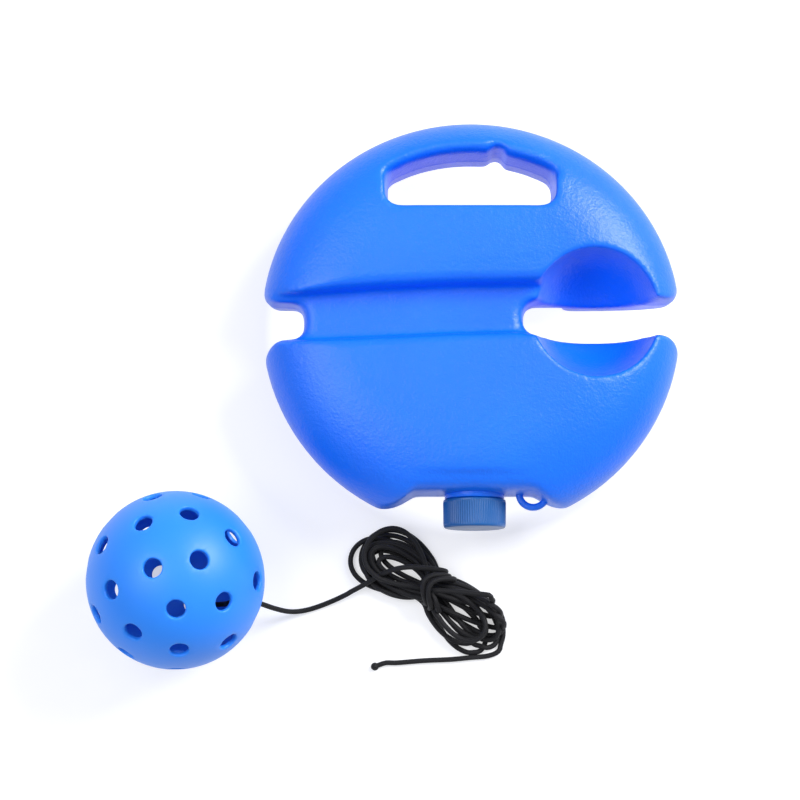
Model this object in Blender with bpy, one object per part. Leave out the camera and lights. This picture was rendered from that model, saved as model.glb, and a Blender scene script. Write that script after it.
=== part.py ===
"""Rope rebounder for racket practice: a hollow base to be filled with water or sand, and a ball on a cord.

The base lies on its back, front face up. X points right, Y towards the carrying handle and Z up.
Every place below is measured from the middle of the base on the ground, and ORIGIN then moves the
whole to the middle of its own footprint. All lengths are in metres.
"""

import math

import bmesh
import bpy
import numpy as np
from mathutils import Euler, Vector

# Base: a blow-moulded tank, round below the waist and a little flattened above it
BASE_RADIUS = 0.0878
BASE_TOP = 0.0845
BASE_THICKNESS = 0.048
FACE_RADIUS = 0.045
RIM_POWER = 2.5
WALL = 0.0022
DRAFT = math.radians(3)

# Flat recess between the two round feet, which also carries the neck. Each roll is the radius with which a
# cutter's walls round over towards the faces, and the height above the middle plane where it ends.
RECESS_DEPTH_Y = 0.0733
RECESS_LEFT = -0.0237
RECESS_RIGHT = 0.0260
FOOT_PROFILE = ((0.0045, 0.0030), (0.0085, 0.0049), (0.0130, 0.0058), (0.0190, 0.0052))
RECESS_ROLL = (0.007, 0.0205)

# Handle hole, whose upper edge runs parallel to the rim
GRIP_DEPTH = 0.0158
HANDLE_FLOOR_Y = 0.0467
HANDLE_LEFT = -0.035
HANDLE_RIGHT = 0.034
HANDLE_CORNER = 0.005
GRIP_ROLL = (0.0065, 0.0195)
FINGER_NOTCH_X = 0.0107
FINGER_NOTCH_RADIUS = 0.003

# Waist: a notch on the left, a slot on the right and a groove across each face between them
SLOT_LOW_Y = -0.0066
SLOT_HIGH_Y = 0.0070
SLOT_END_X = 0.0217
NOTCH_LOW_Y = -0.0084
NOTCH_HIGH_Y = 0.0057
NOTCH_END_X = -0.070
SLOT_CORNER = 0.0058
NOTCH_CORNER = 0.005
SLOT_LIPS = ((0.0060, 0.0066), (0.0090, 0.0070))
NOTCH_LIPS = ((0.0065, 0.0060), (0.0105, 0.0085))
WAIST_END_LENGTH = 0.012
WAIST_END_ROLL = (0.004, 0.012)
GROOVE_DEPTH = 0.012
GROOVE_DRAFT = math.radians(5)
GROOVE_ROLL = 0.004
GROOVE_HIGH_EDGE = ((0.022, 0.0131), (-0.007, 0.0127), (-0.040, 0.0112), (-0.071, 0.0089))
GROOVE_LOW_EDGE = ((-0.071, -0.0102), (-0.040, -0.0088), (-0.007, -0.0073), (0.022, -0.0066))

# Dished seat on the front face that holds the ball when the cord is wound up
SEAT_X = 0.0515
SEAT_Y = 0.0008
SEAT_RADIUS = 0.0268
SEAT_DEPTH = 0.0368

# Tie-off eyelet, a flat tab on the parting line
EYELET_X = 0.0256
EYELET_RISE = 0.0009
EYELET_RADIUS = 0.00725
EYELET_HOLE = 0.0044
EYELET_THICKNESS = 0.0034

# Filler neck, with its screw cap and sealing liner; lengths along the neck start at the recess
NECK_X = 0.0012
NECK_RADIUS = 0.0103
COLLAR_RADIUS = 0.0124
NECK_BORE = 0.0085
CAP_RADIUS = 0.0131
CAP_WALL = 0.0014
CAP_HEIGHT = 0.0118
CAP_CHAMFER = 0.0008
CAP_STANDOFF = 0.0019
CAP_RIBS = 80
RIB_DEPTH = 0.0003
LINER_THICKNESS = 0.0012
THREAD_PITCH = 0.0032
THREAD_DEPTH = 0.0011
THREAD_CREST = 0.0008
THREAD_ROOT = 0.0013
NECK_THREAD_TURNS = 1.5
CAP_THREAD_TURNS = 1.0
NECK_THREAD_START = 0.0040
CLEARANCE = 0.0003

# Ball with 40 round holes, in rings of 8, 8 and 4 about each pole
BALL_RADIUS = 0.0366
BALL_WALL = 0.002
BALL_X = -0.1219
BALL_Y = -0.1094
HOLE_RADIUS = 0.004
HOLE_RINGS = ((13.2, 8, 0.0), (38.3, 8, 22.5), (65.8, 4, 0.0))
LOWER_HALF_TURN = 22.5
BALL_TURN = (1.2, -35.0, -25.7)
RIM_POINTS = 10
CORD_HOLE_WAY = (0.8, -0.2, -0.5)

# Elastic cord, its stopper knot inside the ball and the melted bead on its free end
CORD_RADIUS = 0.0011
CORD_SPACING = 0.0029
KNOT_RADIUS = 0.0046
BEAD_RADIUS = 0.0017
KNOT_OFFSET = (0.008, -0.0085)
KNOT_CLEARANCE = 0.0008

# Hank: loops drawn in at the waist, wound in and out in layers, and bound by turns of the same cord
HANK_X = -0.0167
HANK_Y = -0.1111
HANK_TURN = math.radians(-35.6)
HANK_HALF_LENGTH = 0.0359
HANK_WAIST = 0.0086
HANK_SWELL = 0.0235
LAYERS = 4
TURNS_PER_LAYER = 2.5
LOOP_POINTS = 24
HANK_START_TURN = 0.167
HANK_END_TURN = 9.444
END_RISE_TURNS = 0.15
BINDING_TURNS = 3
BINDING_START_U = -0.0054
FLAT_WAIST = 0.0075

# Sampling and surface finish of the moulded shapes
VOXEL = 0.0013
SMOOTH_PASSES = 14
OUTER_SHARE = 0.038
CAVITY_SHARE = 0.018
TRIM = 0.0002
MARGIN = 0.01
ROUND_STEPS = 48
CORNER_STEPS = 5
MOUTH_STEPS = 4
ROLL_STEPS = 4
SAMPLE_STEP = 0.0055

MID = BASE_THICKNESS / 2
NECK_LENGTH = CAP_STANDOFF + CAP_HEIGHT - CAP_WALL - LINER_THICKNESS - 2 * CLEARANCE
CAP_BORE = NECK_RADIUS + THREAD_DEPTH + CLEARANCE
BALL_CENTRE = Vector((BALL_X, BALL_Y, BALL_RADIUS))
ORIGIN = Vector((
    -(BALL_X - BALL_RADIUS + BASE_RADIUS) / 2,
    -(BALL_Y - BALL_RADIUS + BASE_TOP) / 2,
    0,
))


def clear_scene():
    for item in list(bpy.data.objects):
        bpy.data.objects.remove(item, do_unlink=True)


def plastic(name, colour, roughness):
    material = bpy.data.materials.new(name)
    material.use_nodes = True
    shader = material.node_tree.nodes["Principled BSDF"]
    shader.inputs["Base Color"].default_value = (*colour, 1)
    shader.inputs["Roughness"].default_value = roughness
    shader.inputs["Metallic"].default_value = 0
    return material


def add_object(name, data):
    item = bpy.data.objects.new(name, data)
    bpy.context.scene.collection.objects.link(item)
    return item


def from_bmesh(name, mesh):
    """A new object from a bmesh whose faces are turned outward."""
    bmesh.ops.recalc_face_normals(mesh, faces=mesh.faces)
    data = bpy.data.meshes.new(name)
    mesh.to_mesh(data)
    mesh.free()
    return add_object(name, data)


def settle(item):
    """Replaces an object's mesh with what its modifiers make of it."""
    bpy.context.view_layer.update()
    evaluated = item.evaluated_get(bpy.context.evaluated_depsgraph_get())
    data = bpy.data.meshes.new_from_object(evaluated)
    item.modifiers.clear()
    item.data = data
    return item


def combine(item, others, operation):
    """Cuts, joins or trims an object with others, which are then removed."""
    for other in others:
        step = item.modifiers.new(other.name, "BOOLEAN")
        step.operation = operation
        step.object = other
    settle(item)
    for other in others:
        bpy.data.objects.remove(other, do_unlink=True)
    return item


def soften(item):
    """Turns a sharp-edged solid into a moulded one with rounded edges and corners."""
    remesh = item.modifiers.new("Even skin", "REMESH")
    remesh.mode = "VOXEL"
    remesh.voxel_size = VOXEL
    smooth = item.modifiers.new("Rounded edges", "SMOOTH")
    smooth.factor = 0.5
    smooth.iterations = SMOOTH_PASSES
    return settle(item)


def thin_out(item, share):
    decimate = item.modifiers.new("Fewer faces", "DECIMATE")
    decimate.ratio = share
    return settle(item)


def finish(item, material):
    """Gives a piece its material and smooth shading, and moves it with the whole object."""
    item.data.materials.clear()
    item.data.materials.append(material)
    if item.type == "MESH":
        item.data.shade_smooth()
        item.data.set_sharp_from_angle(angle=math.radians(40))
    item.location += ORIGIN
    return item


def rounded_outline(corners):
    """An anticlockwise outline through corners (x, y, radius), each radius drawn as an arc."""
    outline = []
    for index, (x, y, radius) in enumerate(corners):
        corner = Vector((x, y))
        if radius == 0:
            outline.append(corner)
            continue
        back = (Vector(corners[index - 1][:2]) - corner).normalized()
        ahead = (Vector(corners[(index + 1) % len(corners)][:2]) - corner).normalized()
        half = back.angle(ahead) / 2
        centre = corner + (back + ahead).normalized() * radius / math.sin(half)
        start = corner + back * radius / math.tan(half) - centre
        end = corner + ahead * radius / math.tan(half) - centre
        for step in range(CORNER_STEPS + 1):
            spoke = start.lerp(end, step / CORNER_STEPS)
            outline.append(centre + spoke.normalized() * radius)
    return outline


def widened(outline, distance, roll=0, way=None):
    """The outline moved outward, each point by the roll too as far as it faces the given way."""
    moved = []
    for index, point in enumerate(outline):
        along = (outline[(index + 1) % len(outline)] - outline[index - 1]).normalized()
        outward = Vector((along.y, -along.x))
        share = max(0, outward.dot(way)) if way else 1
        moved.append(point + outward * (distance + roll * share))
    return moved


def rolled(rise, radius, end):
    """How far a wall that rounds over has moved at a height; the round begins a radius below its end."""
    past = min(max(rise - end + radius, 0), radius)
    return radius - math.sqrt(radius ** 2 - past ** 2)


def prism(name, sections):
    """A solid through outlines at rising heights, given as (height, outline) pairs."""
    mesh = bmesh.new()
    rings = [[mesh.verts.new((p.x, p.y, height)) for p in outline] for height, outline in sections]
    for lower, upper in zip(rings, rings[1:]):
        for index in range(len(lower)):
            after = (index + 1) % len(lower)
            mesh.faces.new((lower[index], lower[after], upper[after], upper[index]))
    mesh.faces.new(rings[0][::-1])
    mesh.faces.new(rings[-1])
    return from_bmesh(name, mesh)


def through_cutter(name, outline, grow, roll=(0, 0), way=None):
    """A cutter through the base that opens from the parting line to each face, by draft and by a roll."""
    radius, end = roll
    rises = [0]
    if radius:
        turns = [math.pi / 2 * step / ROLL_STEPS for step in range(ROLL_STEPS + 1)]
        rises += [end - radius + radius * math.sin(turn) for turn in turns]
    rises.append(MID + MARGIN)
    sections = []
    for rise in rises:
        section = widened(outline, rise * math.tan(DRAFT) - grow, rolled(rise, radius, end), way)
        sections += [(MID + rise, section), (MID - rise, section)] if rise else [(MID, section)]
    return prism(name, sorted(sections, key=lambda section: section[0]))


def lathe(name, profile, steps=ROUND_STEPS):
    """A solid turned about Z from a closed profile of (radius, height) points."""
    mesh = bmesh.new()
    points = [mesh.verts.new((radius, 0, height)) for radius, height in profile]
    edges = [mesh.edges.new((a, b)) for a, b in zip(points, points[1:])]
    if min(radius for radius, _ in profile) > 0:
        edges.append(mesh.edges.new((points[-1], points[0])))
    bmesh.ops.spin(mesh, geom=points + edges, axis=(0, 0, 1), cent=(0, 0, 0), steps=steps, angle=math.tau)
    bmesh.ops.remove_doubles(mesh, verts=mesh.verts, dist=1e-6)
    return from_bmesh(name, mesh)


def disc(name, grow):
    """The base before anything is cut: two flat faces, a round rim and a flattened upper half."""
    radius = BASE_RADIUS + grow
    half = MID + TRIM + grow
    steps = 18
    top = []
    for step in range(steps):
        at = FACE_RADIUS + (radius - FACE_RADIUS) * math.sin(math.pi / 2 * step / steps)
        share = (at - FACE_RADIUS) / (radius - FACE_RADIUS)
        top.append((at, half * math.sqrt(1 - share ** RIM_POWER)))
    profile = [(0, MID + half)] + [(r, MID + z) for r, z in top] + [(radius, MID)]
    profile += [(r, MID - z) for r, z in reversed(top)] + [(0, MID - half)]
    blank = lathe(name, profile, 2 * ROUND_STEPS)
    for vertex in blank.data.vertices:
        if vertex.co.y > 0:
            vertex.co.y *= (BASE_TOP + grow) / radius
    return blank


def grip_edge_y(x):
    """Height of the handle hole's upper edge, which keeps the grip's depth all round."""
    flatness = (BASE_TOP - GRIP_DEPTH) / (BASE_RADIUS - GRIP_DEPTH)
    return flatness * math.sqrt((BASE_RADIUS - GRIP_DEPTH) ** 2 - x * x)


def handle_outline():
    steps = 14
    corners = [
        (HANDLE_LEFT, HANDLE_FLOOR_Y, HANDLE_CORNER),
        (HANDLE_RIGHT, HANDLE_FLOOR_Y, HANDLE_CORNER),
        (HANDLE_RIGHT, grip_edge_y(HANDLE_RIGHT), HANDLE_CORNER),
    ]
    for step in range(steps + 1):
        low, high = HANDLE_LEFT + 2 * HANDLE_CORNER, HANDLE_RIGHT - 2 * HANDLE_CORNER
        x = high + (low - high) * step / steps
        corners.append((x, grip_edge_y(x), 0))
    corners.append((HANDLE_LEFT, grip_edge_y(HANDLE_LEFT), HANDLE_CORNER))
    return rounded_outline(corners)


def finger_notch_outline():
    centre = Vector((FINGER_NOTCH_X, grip_edge_y(FINGER_NOTCH_X)))
    turns = [math.tau * step / 16 for step in range(16)]
    return [centre + FINGER_NOTCH_RADIUS * Vector((math.cos(turn), math.sin(turn))) for turn in turns]


def waist_outline(side, end_x, low_y, high_y, corner, lips):
    """The slot or the notch: rounded inner corners, and a mouth whose lips round over into the rim."""
    upper, lower = [], []
    for lip, y, away, (length, height) in ((upper, high_y, 1, lips[0]), (lower, low_y, -1, lips[1])):
        rim = math.sqrt(BASE_RADIUS ** 2 - (abs(y) + height) ** 2)
        for step in range(MOUTH_STEPS + 1):
            turn = math.pi / 2 * step / MOUTH_STEPS
            x = rim - length * (1 - math.sin(turn))
            lip.append((side * x, y + away * height * (1 - math.cos(turn)), 0))
    far = side * (BASE_RADIUS + MARGIN)
    corners = [
        (end_x, high_y, corner),
        (end_x, low_y, corner),
        *lower,
        (far, lower[-1][1], 0),
        (far, upper[-1][1], 0),
        *reversed(upper),
    ]
    return rounded_outline(corners if side > 0 else corners[::-1])


def waist_end(side, end_x, low_y, high_y, corner):
    """The slot's or the notch's inner end alone, where the groove's floor rounds over into it."""
    open_x = end_x + side * WAIST_END_LENGTH
    corners = [(end_x, high_y, corner), (end_x, low_y, corner), (open_x, low_y, 0), (open_x, high_y, 0)]
    return rounded_outline(corners if side > 0 else corners[::-1])


def groove_outline():
    """The groove's floor, which runs out past the rim on the left and into the seat on the right."""
    left = -BASE_RADIUS - MARGIN
    right = SEAT_X - SEAT_RADIUS / 2
    high = [*GROOVE_HIGH_EDGE, (left, GROOVE_HIGH_EDGE[-1][1])]
    low = [(left, GROOVE_LOW_EDGE[0][1]), *GROOVE_LOW_EDGE]
    ends = [(right, GROOVE_LOW_EDGE[-1][1]), (right, GROOVE_HIGH_EDGE[0][1])]
    return [Vector(corner) for corner in high + low + ends]


def recess_outline():
    """The recess's flat floor and the round feet on both sides of it, open towards -Y."""
    below = -BASE_RADIUS - MARGIN
    right = [(RECESS_RIGHT + x, -RECESS_DEPTH_Y - y) for x, y in FOOT_PROFILE]
    left = [(RECESS_LEFT - x, -RECESS_DEPTH_Y - y) for x, y in FOOT_PROFILE]
    corners = [(left[-1][0], below), (right[-1][0], below), *reversed(right)]
    corners += [(RECESS_RIGHT, -RECESS_DEPTH_Y), (RECESS_LEFT, -RECESS_DEPTH_Y), *left]
    return [Vector(corner) for corner in corners]


def face_cutters(grow):
    """The groove on each face, whose walls round over into it, and the ball's seat on the front one."""
    outline = groove_outline()
    turns = [math.pi / 2 * step / ROLL_STEPS for step in range(ROLL_STEPS + 1)]
    rounds = [GROOVE_DEPTH - GROOVE_ROLL + GROOVE_ROLL * math.sin(turn) for turn in turns]
    rises = [0, *rounds, GROOVE_DEPTH + MARGIN]
    cutters = []
    for side, face_name in ((1, "front"), (-1, "back")):
        floor = MID + side * (MID - GROOVE_DEPTH + grow)
        sections = []
        for rise in rises:
            spread = rise * math.tan(GROOVE_DRAFT) + rolled(rise, GROOVE_ROLL, GROOVE_DEPTH) - grow
            sections.append((floor + side * rise, widened(outline, spread)))
        cutters.append(prism(f"{face_name} groove", sections[::side]))
    mesh = bmesh.new()
    bmesh.ops.create_icosphere(mesh, subdivisions=4, radius=1)
    seat = from_bmesh("seat", mesh)
    for vertex in seat.data.vertices:
        vertex.co.x = SEAT_X + (SEAT_RADIUS - grow) * vertex.co.x
        vertex.co.y = SEAT_Y + (SEAT_RADIUS - grow) * vertex.co.y
        vertex.co.z = BASE_THICKNESS + (SEAT_DEPTH - grow) * vertex.co.z
    return [*cutters, seat]


def moulded_form(name, grow, share):
    """The base's outer skin, or with a negative growth the space inside its walls."""
    blank = disc(name, grow)
    up, left, right = Vector((0, 1)), Vector((-1, 0)), Vector((1, 0))
    slot = (1, SLOT_END_X, SLOT_LOW_Y, SLOT_HIGH_Y, SLOT_CORNER)
    notch = (-1, NOTCH_END_X, NOTCH_LOW_Y, NOTCH_HIGH_Y, NOTCH_CORNER)
    cutters = [
        through_cutter("handle", handle_outline(), grow, GRIP_ROLL, up),
        through_cutter("finger notch", finger_notch_outline(), grow, GRIP_ROLL, up),
        through_cutter("slot", waist_outline(*slot, SLOT_LIPS), grow),
        through_cutter("slot end", waist_end(*slot), grow, WAIST_END_ROLL, left),
        through_cutter("notch", waist_outline(*notch, NOTCH_LIPS), grow),
        through_cutter("notch end", waist_end(*notch), grow, WAIST_END_ROLL, right),
        through_cutter("recess", recess_outline(), grow, RECESS_ROLL),
    ]
    combine(blank, cutters + face_cutters(grow), "DIFFERENCE")
    return thin_out(soften(blank), share)


def block(name, low, high):
    corners = [
        Vector((low[0], low[1])),
        Vector((high[0], low[1])),
        Vector((high[0], high[1])),
        Vector((low[0], high[1])),
    ]
    return prism(name, ((low[2], corners), (high[2], corners)))


def on_neck(item):
    """Puts a piece that was made about Z on the neck's axis, which runs out towards -Y from the recess."""
    item.location = (NECK_X, -RECESS_DEPTH_Y, MID)
    item.rotation_euler = (math.pi / 2, 0, 0)
    return item


def thread(name, root_radius, crest_radius, start, turns):
    """A right-handed thread ridge that fades in and out, rooted slightly inside its wall."""
    steps = round(turns * ROUND_STEPS * 0.75)
    fade = 4
    mesh = bmesh.new()
    rings = []
    for step in range(steps + 1):
        angle = math.tau * turns * step / steps
        height = start + THREAD_PITCH * turns * step / steps
        share = min(1, step / fade, (steps - step) / fade)
        crest = root_radius + (crest_radius - root_radius) * max(share, 0.05)
        section = (
            (root_radius, -THREAD_ROOT / 2),
            (crest, -THREAD_CREST / 2),
            (crest, THREAD_CREST / 2),
            (root_radius, THREAD_ROOT / 2),
        )
        rings.append([
            mesh.verts.new((radius * math.cos(angle), radius * math.sin(angle), height + rise))
            for radius, rise in section
        ])
    for ring, following in zip(rings, rings[1:]):
        for index in range(4):
            after = (index + 1) % 4
            mesh.faces.new((ring[index], ring[after], following[after], following[index]))
    mesh.faces.new(rings[0])
    mesh.faces.new(rings[-1])
    return from_bmesh(name, mesh)


def make_neck():
    inside = -2 * WALL
    collar = CAP_STANDOFF - CLEARANCE
    bevel = collar / 4
    neck = lathe("neck", (
        (0, inside),
        (NECK_RADIUS, inside),
        (NECK_RADIUS, -WALL / 2),
        (COLLAR_RADIUS, -WALL / 2),
        (COLLAR_RADIUS, collar - bevel),
        (COLLAR_RADIUS - bevel, collar),
        (NECK_RADIUS, collar),
        (NECK_RADIUS, NECK_LENGTH),
        (0, NECK_LENGTH),
    ))
    embedded = NECK_RADIUS - CLEARANCE
    crest = NECK_RADIUS + THREAD_DEPTH
    ridge = thread("neck thread", embedded, crest, NECK_THREAD_START, NECK_THREAD_TURNS)
    return on_neck(combine(neck, [ridge], "UNION"))


def make_eyelet():
    half = EYELET_THICKNESS / 2
    ring = lathe("eyelet", (
        (EYELET_HOLE, -half),
        (EYELET_RADIUS, -half),
        (EYELET_RADIUS, half),
        (EYELET_HOLE, half),
    ), 28)
    ring.location = (EYELET_X, EYELET_RISE - RECESS_DEPTH_Y, MID)
    return ring


def make_base(material):
    tank = moulded_form("base_tank", 0, OUTER_SHARE)
    room = BASE_RADIUS + MARGIN
    slab = block("faces", (-room, -room, 0), (room, room, BASE_THICKNESS))
    combine(tank, [slab], "INTERSECT")
    cavity = moulded_form("cavity", -WALL, CAVITY_SHARE)
    combine(tank, [make_neck(), make_eyelet()], "UNION")
    inner, outer = -4 * WALL, NECK_LENGTH + MARGIN
    bore = on_neck(lathe("bore", ((0, inner), (NECK_BORE, inner), (NECK_BORE, outer), (0, outer))))
    combine(tank, [cavity, bore], "DIFFERENCE")
    return finish(tank, material)


def make_cap(material):
    """The screw cap: ribbed outside, open towards the tank, threaded inside."""
    points = 2 * CAP_RIBS
    open_end = CAP_STANDOFF
    closed_end = CAP_STANDOFF + CAP_HEIGHT
    mesh = bmesh.new()
    rings = []
    for height, inset, depth in (
        (open_end, 0, RIB_DEPTH),
        (closed_end - CAP_CHAMFER, 0, RIB_DEPTH),
        (closed_end, CAP_CHAMFER, 0),
    ):
        ring = []
        for index in range(points):
            angle = math.tau * index / points
            radius = CAP_RADIUS - inset - depth * (index % 2)
            ring.append(mesh.verts.new((radius * math.cos(angle), radius * math.sin(angle), height)))
        rings.append(ring)
    for lower, upper in zip(rings, rings[1:]):
        for index in range(points):
            after = (index + 1) % points
            mesh.faces.new((lower[index], lower[after], upper[after], upper[index]))
    mesh.faces.new(rings[0][::-1])
    mesh.faces.new(rings[-1])
    cap = from_bmesh("filler_cap", mesh)
    floor = closed_end - CAP_WALL
    hollow = lathe("cap hollow", ((0, 0), (CAP_BORE, 0), (CAP_BORE, floor), (0, floor)))
    combine(cap, [hollow], "DIFFERENCE")
    quarter = 0.25
    start = NECK_THREAD_START - THREAD_PITCH * (0.5 - quarter)
    ridge = thread("cap thread", CAP_BORE + CLEARANCE, CAP_BORE - THREAD_DEPTH, start, CAP_THREAD_TURNS)
    ridge.rotation_euler = (0, 0, math.tau * quarter)
    combine(cap, [ridge], "UNION")
    return finish(on_neck(cap), material)


def make_liner(material):
    low = NECK_LENGTH + CLEARANCE
    high = low + LINER_THICKNESS
    radius = CAP_BORE - CLEARANCE
    liner = lathe("cap_liner", ((0, low), (radius, low), (radius, high), (0, high)), 36)
    return finish(on_neck(liner), material)


def hole_axes():
    """Unit vectors from the ball's centre through its 40 holes."""
    turn = Euler([math.radians(angle) for angle in BALL_TURN]).to_matrix()
    axes = []
    for latitude, count, offset in HOLE_RINGS:
        for half, extra in ((1, 0), (-1, LOWER_HALF_TURN)):
            for index in range(count):
                around = math.radians(offset + extra + 360 * index / count)
                rise = math.radians(latitude)
                flat = math.cos(rise)
                axis = Vector((flat * math.cos(around), flat * math.sin(around), half * math.sin(rise)))
                axes.append(turn @ axis)
    return axes


def cord_hole_axis():
    """The hole that the cord leaves through: the one that looks most to the right and somewhat down."""
    return max(hole_axes(), key=lambda axis: axis.dot(Vector(CORD_HOLE_WAY)))


def hull_faces(points):
    """Triangles of the convex hull, as index triples into the points."""
    mesh = bmesh.new()
    for point in points:
        mesh.verts.new(point)
    mesh.verts.index_update()
    bmesh.ops.convex_hull(mesh, input=mesh.verts, use_existing_faces=False)
    bmesh.ops.triangulate(mesh, faces=mesh.faces)
    triangles = [[vertex.index for vertex in face.verts] for face in mesh.faces]
    mesh.free()
    return triangles


def ball_skin(axes, radius, between):
    """Points of one spherical skin: each hole's rim in turn, then one point between each three holes."""
    points = []
    tilt = math.asin(HOLE_RADIUS / radius)
    for axis in axes:
        side = axis.orthogonal().normalized()
        up = axis.cross(side)
        for index in range(RIM_POINTS):
            angle = math.tau * index / RIM_POINTS
            rim = side * math.cos(angle) + up * math.sin(angle)
            points.append((axis * math.cos(tilt) + rim * math.sin(tilt)) * radius)
    return points + [direction * radius for direction in between]


def make_ball(material):
    axes = hole_axes()
    between = []
    for a, b, c in hull_faces(axes):
        normal = (axes[b] - axes[a]).cross(axes[c] - axes[a]).normalized()
        between.append(normal if normal.dot(axes[a]) > 0 else -normal)
    mesh = bmesh.new()
    skins = []
    rim_total = RIM_POINTS * len(axes)
    for radius in (BALL_RADIUS, BALL_RADIUS - BALL_WALL):
        points = ball_skin(axes, radius, between)
        corners = [mesh.verts.new(point) for point in points]
        for triangle in hull_faces(points):
            holes = {index // RIM_POINTS if index < rim_total else -1 - index for index in triangle}
            if len(holes) > 1:
                mesh.faces.new([corners[index] for index in triangle])
        skins.append(corners)
    for hole in range(len(axes)):
        for index in range(RIM_POINTS):
            here = hole * RIM_POINTS + index
            after = hole * RIM_POINTS + (index + 1) % RIM_POINTS
            outer, inner = skins
            mesh.faces.new((outer[here], outer[after], inner[after], inner[here]))
    ball = from_bmesh("ball", mesh)
    ball.location = BALL_CENTRE
    return finish(ball, material)


def smooth_route(points, step):
    """Even samples of a smooth curve through a cord's chosen points, straight at both ends."""
    route = np.array([tuple(point) for point in points])
    dense = []
    for before, start, end, after in zip(route, route[1:], route[2:], route[3:]):
        for share in np.linspace(0, 1, 24, endpoint=False):
            dense.append(0.5 * (
                2 * start
                + (end - before) * share
                + (2 * before - 5 * start + 4 * end - after) * share ** 2
                + (3 * start - before - 3 * end + after) * share ** 3
            ))
    dense.append(route[-2])
    return np.vstack((route[:1], resampled(np.array(dense), step), route[-1:]))


def resampled(path, step):
    """A path's points at even distances, its two ends kept."""
    lengths = np.concatenate(([0], np.cumsum(np.linalg.norm(np.diff(path, axis=0), axis=1))))
    count = max(2, round(lengths[-1] / step) + 1)
    places = np.linspace(0, lengths[-1], count)
    return np.column_stack([np.interp(places, lengths, path[:, axis]) for axis in range(3)])


def path_length(path):
    return float(np.linalg.norm(np.diff(path, axis=0), axis=1).sum())


def least_gap(path, other=None):
    """The least gap between a tube's turns, or between two tubes, measured on points along them."""
    fine = resampled(path, 0.0006)
    if other is None:
        apart = np.linalg.norm(fine[:, None] - fine[None], axis=2)
        order = np.arange(len(fine))
        near = np.abs(order[:, None] - order[None]) * 0.0006 < 6 * CORD_RADIUS
        apart[near] = 1
    else:
        apart = np.linalg.norm(fine[:, None] - resampled(other, 0.0006)[None], axis=2)
    return float(apart.min()) - 2 * CORD_RADIUS


def tube(name, path, resolution, material):
    """A cord of the given route, with closed ends."""
    curve = bpy.data.curves.new(name, "CURVE")
    curve.dimensions = "3D"
    curve.bevel_depth = CORD_RADIUS
    curve.bevel_resolution = resolution
    curve.use_fill_caps = True
    spline = curve.splines.new("POLY")
    spline.points.add(len(path) - 1)
    for point, place in zip(spline.points, path):
        point.co = (*place, 1)
    return finish(add_object(name, curve), material)


def hank_to_base(u, v, z):
    """From the hank's own directions, along and across it, to the base's."""
    cosine, sine = math.cos(HANK_TURN), math.sin(HANK_TURN)
    return np.array((HANK_X + u * cosine - v * sine, HANK_Y + u * sine + v * cosine, z))


def hank_lift(u):
    """The loops rise at the waist, where the binding passes under them."""
    share = max(0, abs(u) - FLAT_WAIST) / (HANK_HALF_LENGTH - FLAT_WAIST)
    return CORD_SPACING * (0.5 + 0.5 * math.cos(math.pi * min(1, share)))


def hank_level(turn):
    """The layer that a turn lies in; it climbs in the half turn where the spiral reverses."""
    level = 0.0
    for layer in range(1, LAYERS):
        share = min(1, max(0, (turn - layer * TURNS_PER_LAYER) / 0.5 + 0.5))
        level += share * share * (3 - 2 * share)
    share = min(1, max(0, (turn - HANK_END_TURN) / END_RISE_TURNS + 1))
    return level + share * share * (3 - 2 * share)


def hank_point(turn):
    """A place along the loops, in the hank's own directions; turn 0 is in the middle of the lower run."""
    angle = math.tau * turn - math.pi / 2
    cosine, sine = math.cos(angle), math.sin(angle)
    u = HANK_HALF_LENGTH * cosine
    v = sine * (HANK_WAIST + HANK_SWELL * cosine * cosine)
    along_u = -HANK_HALF_LENGTH * sine
    along_v = cosine * (HANK_WAIST + HANK_SWELL * cosine * cosine) - 2 * HANK_SWELL * sine * sine * cosine
    size = math.hypot(along_u, along_v)
    phase = turn % (2 * TURNS_PER_LAYER)
    inward = CORD_SPACING * min(phase, 2 * TURNS_PER_LAYER - phase)
    u -= inward * along_v / size
    v += inward * along_u / size
    return u, v, CORD_RADIUS + hank_lift(u) + CORD_SPACING * hank_level(turn)


def hank_path():
    count = round((HANK_END_TURN - HANK_START_TURN) * LOOP_POINTS)
    turns = np.linspace(HANK_START_TURN, HANK_END_TURN, count + 1)
    return np.array([hank_to_base(*hank_point(turn)) for turn in turns])


def binding_turns():
    """The turns round the waist, from the middle of its top: a helix on a box with round corners."""
    side = HANK_WAIST + HANK_SWELL * (BINDING_START_U / HANK_HALF_LENGTH) ** 2 + CORD_SPACING
    top = CORD_RADIUS + CORD_SPACING * (LAYERS + 1)
    box = rounded_outline((
        (side, top, CORD_SPACING),
        (side, CORD_RADIUS, CORD_SPACING),
        (-side, CORD_RADIUS, CORD_SPACING),
        (-side, top, CORD_SPACING),
    ))
    section = np.array([(0, 0, top)] + [(0, corner.x, corner.y) for corner in box] + [(0, 0, top)])
    once = resampled(section, path_length(section) / LOOP_POINTS)[:-1]
    wound = np.vstack([once] * BINDING_TURNS + [once[:1]])
    wound[:, 0] = BINDING_START_U + CORD_SPACING * np.arange(len(wound)) / LOOP_POINTS
    return wound


def joining_curve(start, start_way, end, end_way, pull):
    """A smooth curve from one place and direction to another."""
    points = []
    for share in np.linspace(0, 1, 9):
        a = 2 * share ** 3 - 3 * share ** 2 + 1
        b = share ** 3 - 2 * share ** 2 + share
        c = share ** 3 - share ** 2
        points.append(a * start + b * pull * start_way + (1 - a) * end + c * pull * end_way)
    return np.array(points)


def direction(start, end):
    return (end - start) / np.linalg.norm(end - start)


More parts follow.
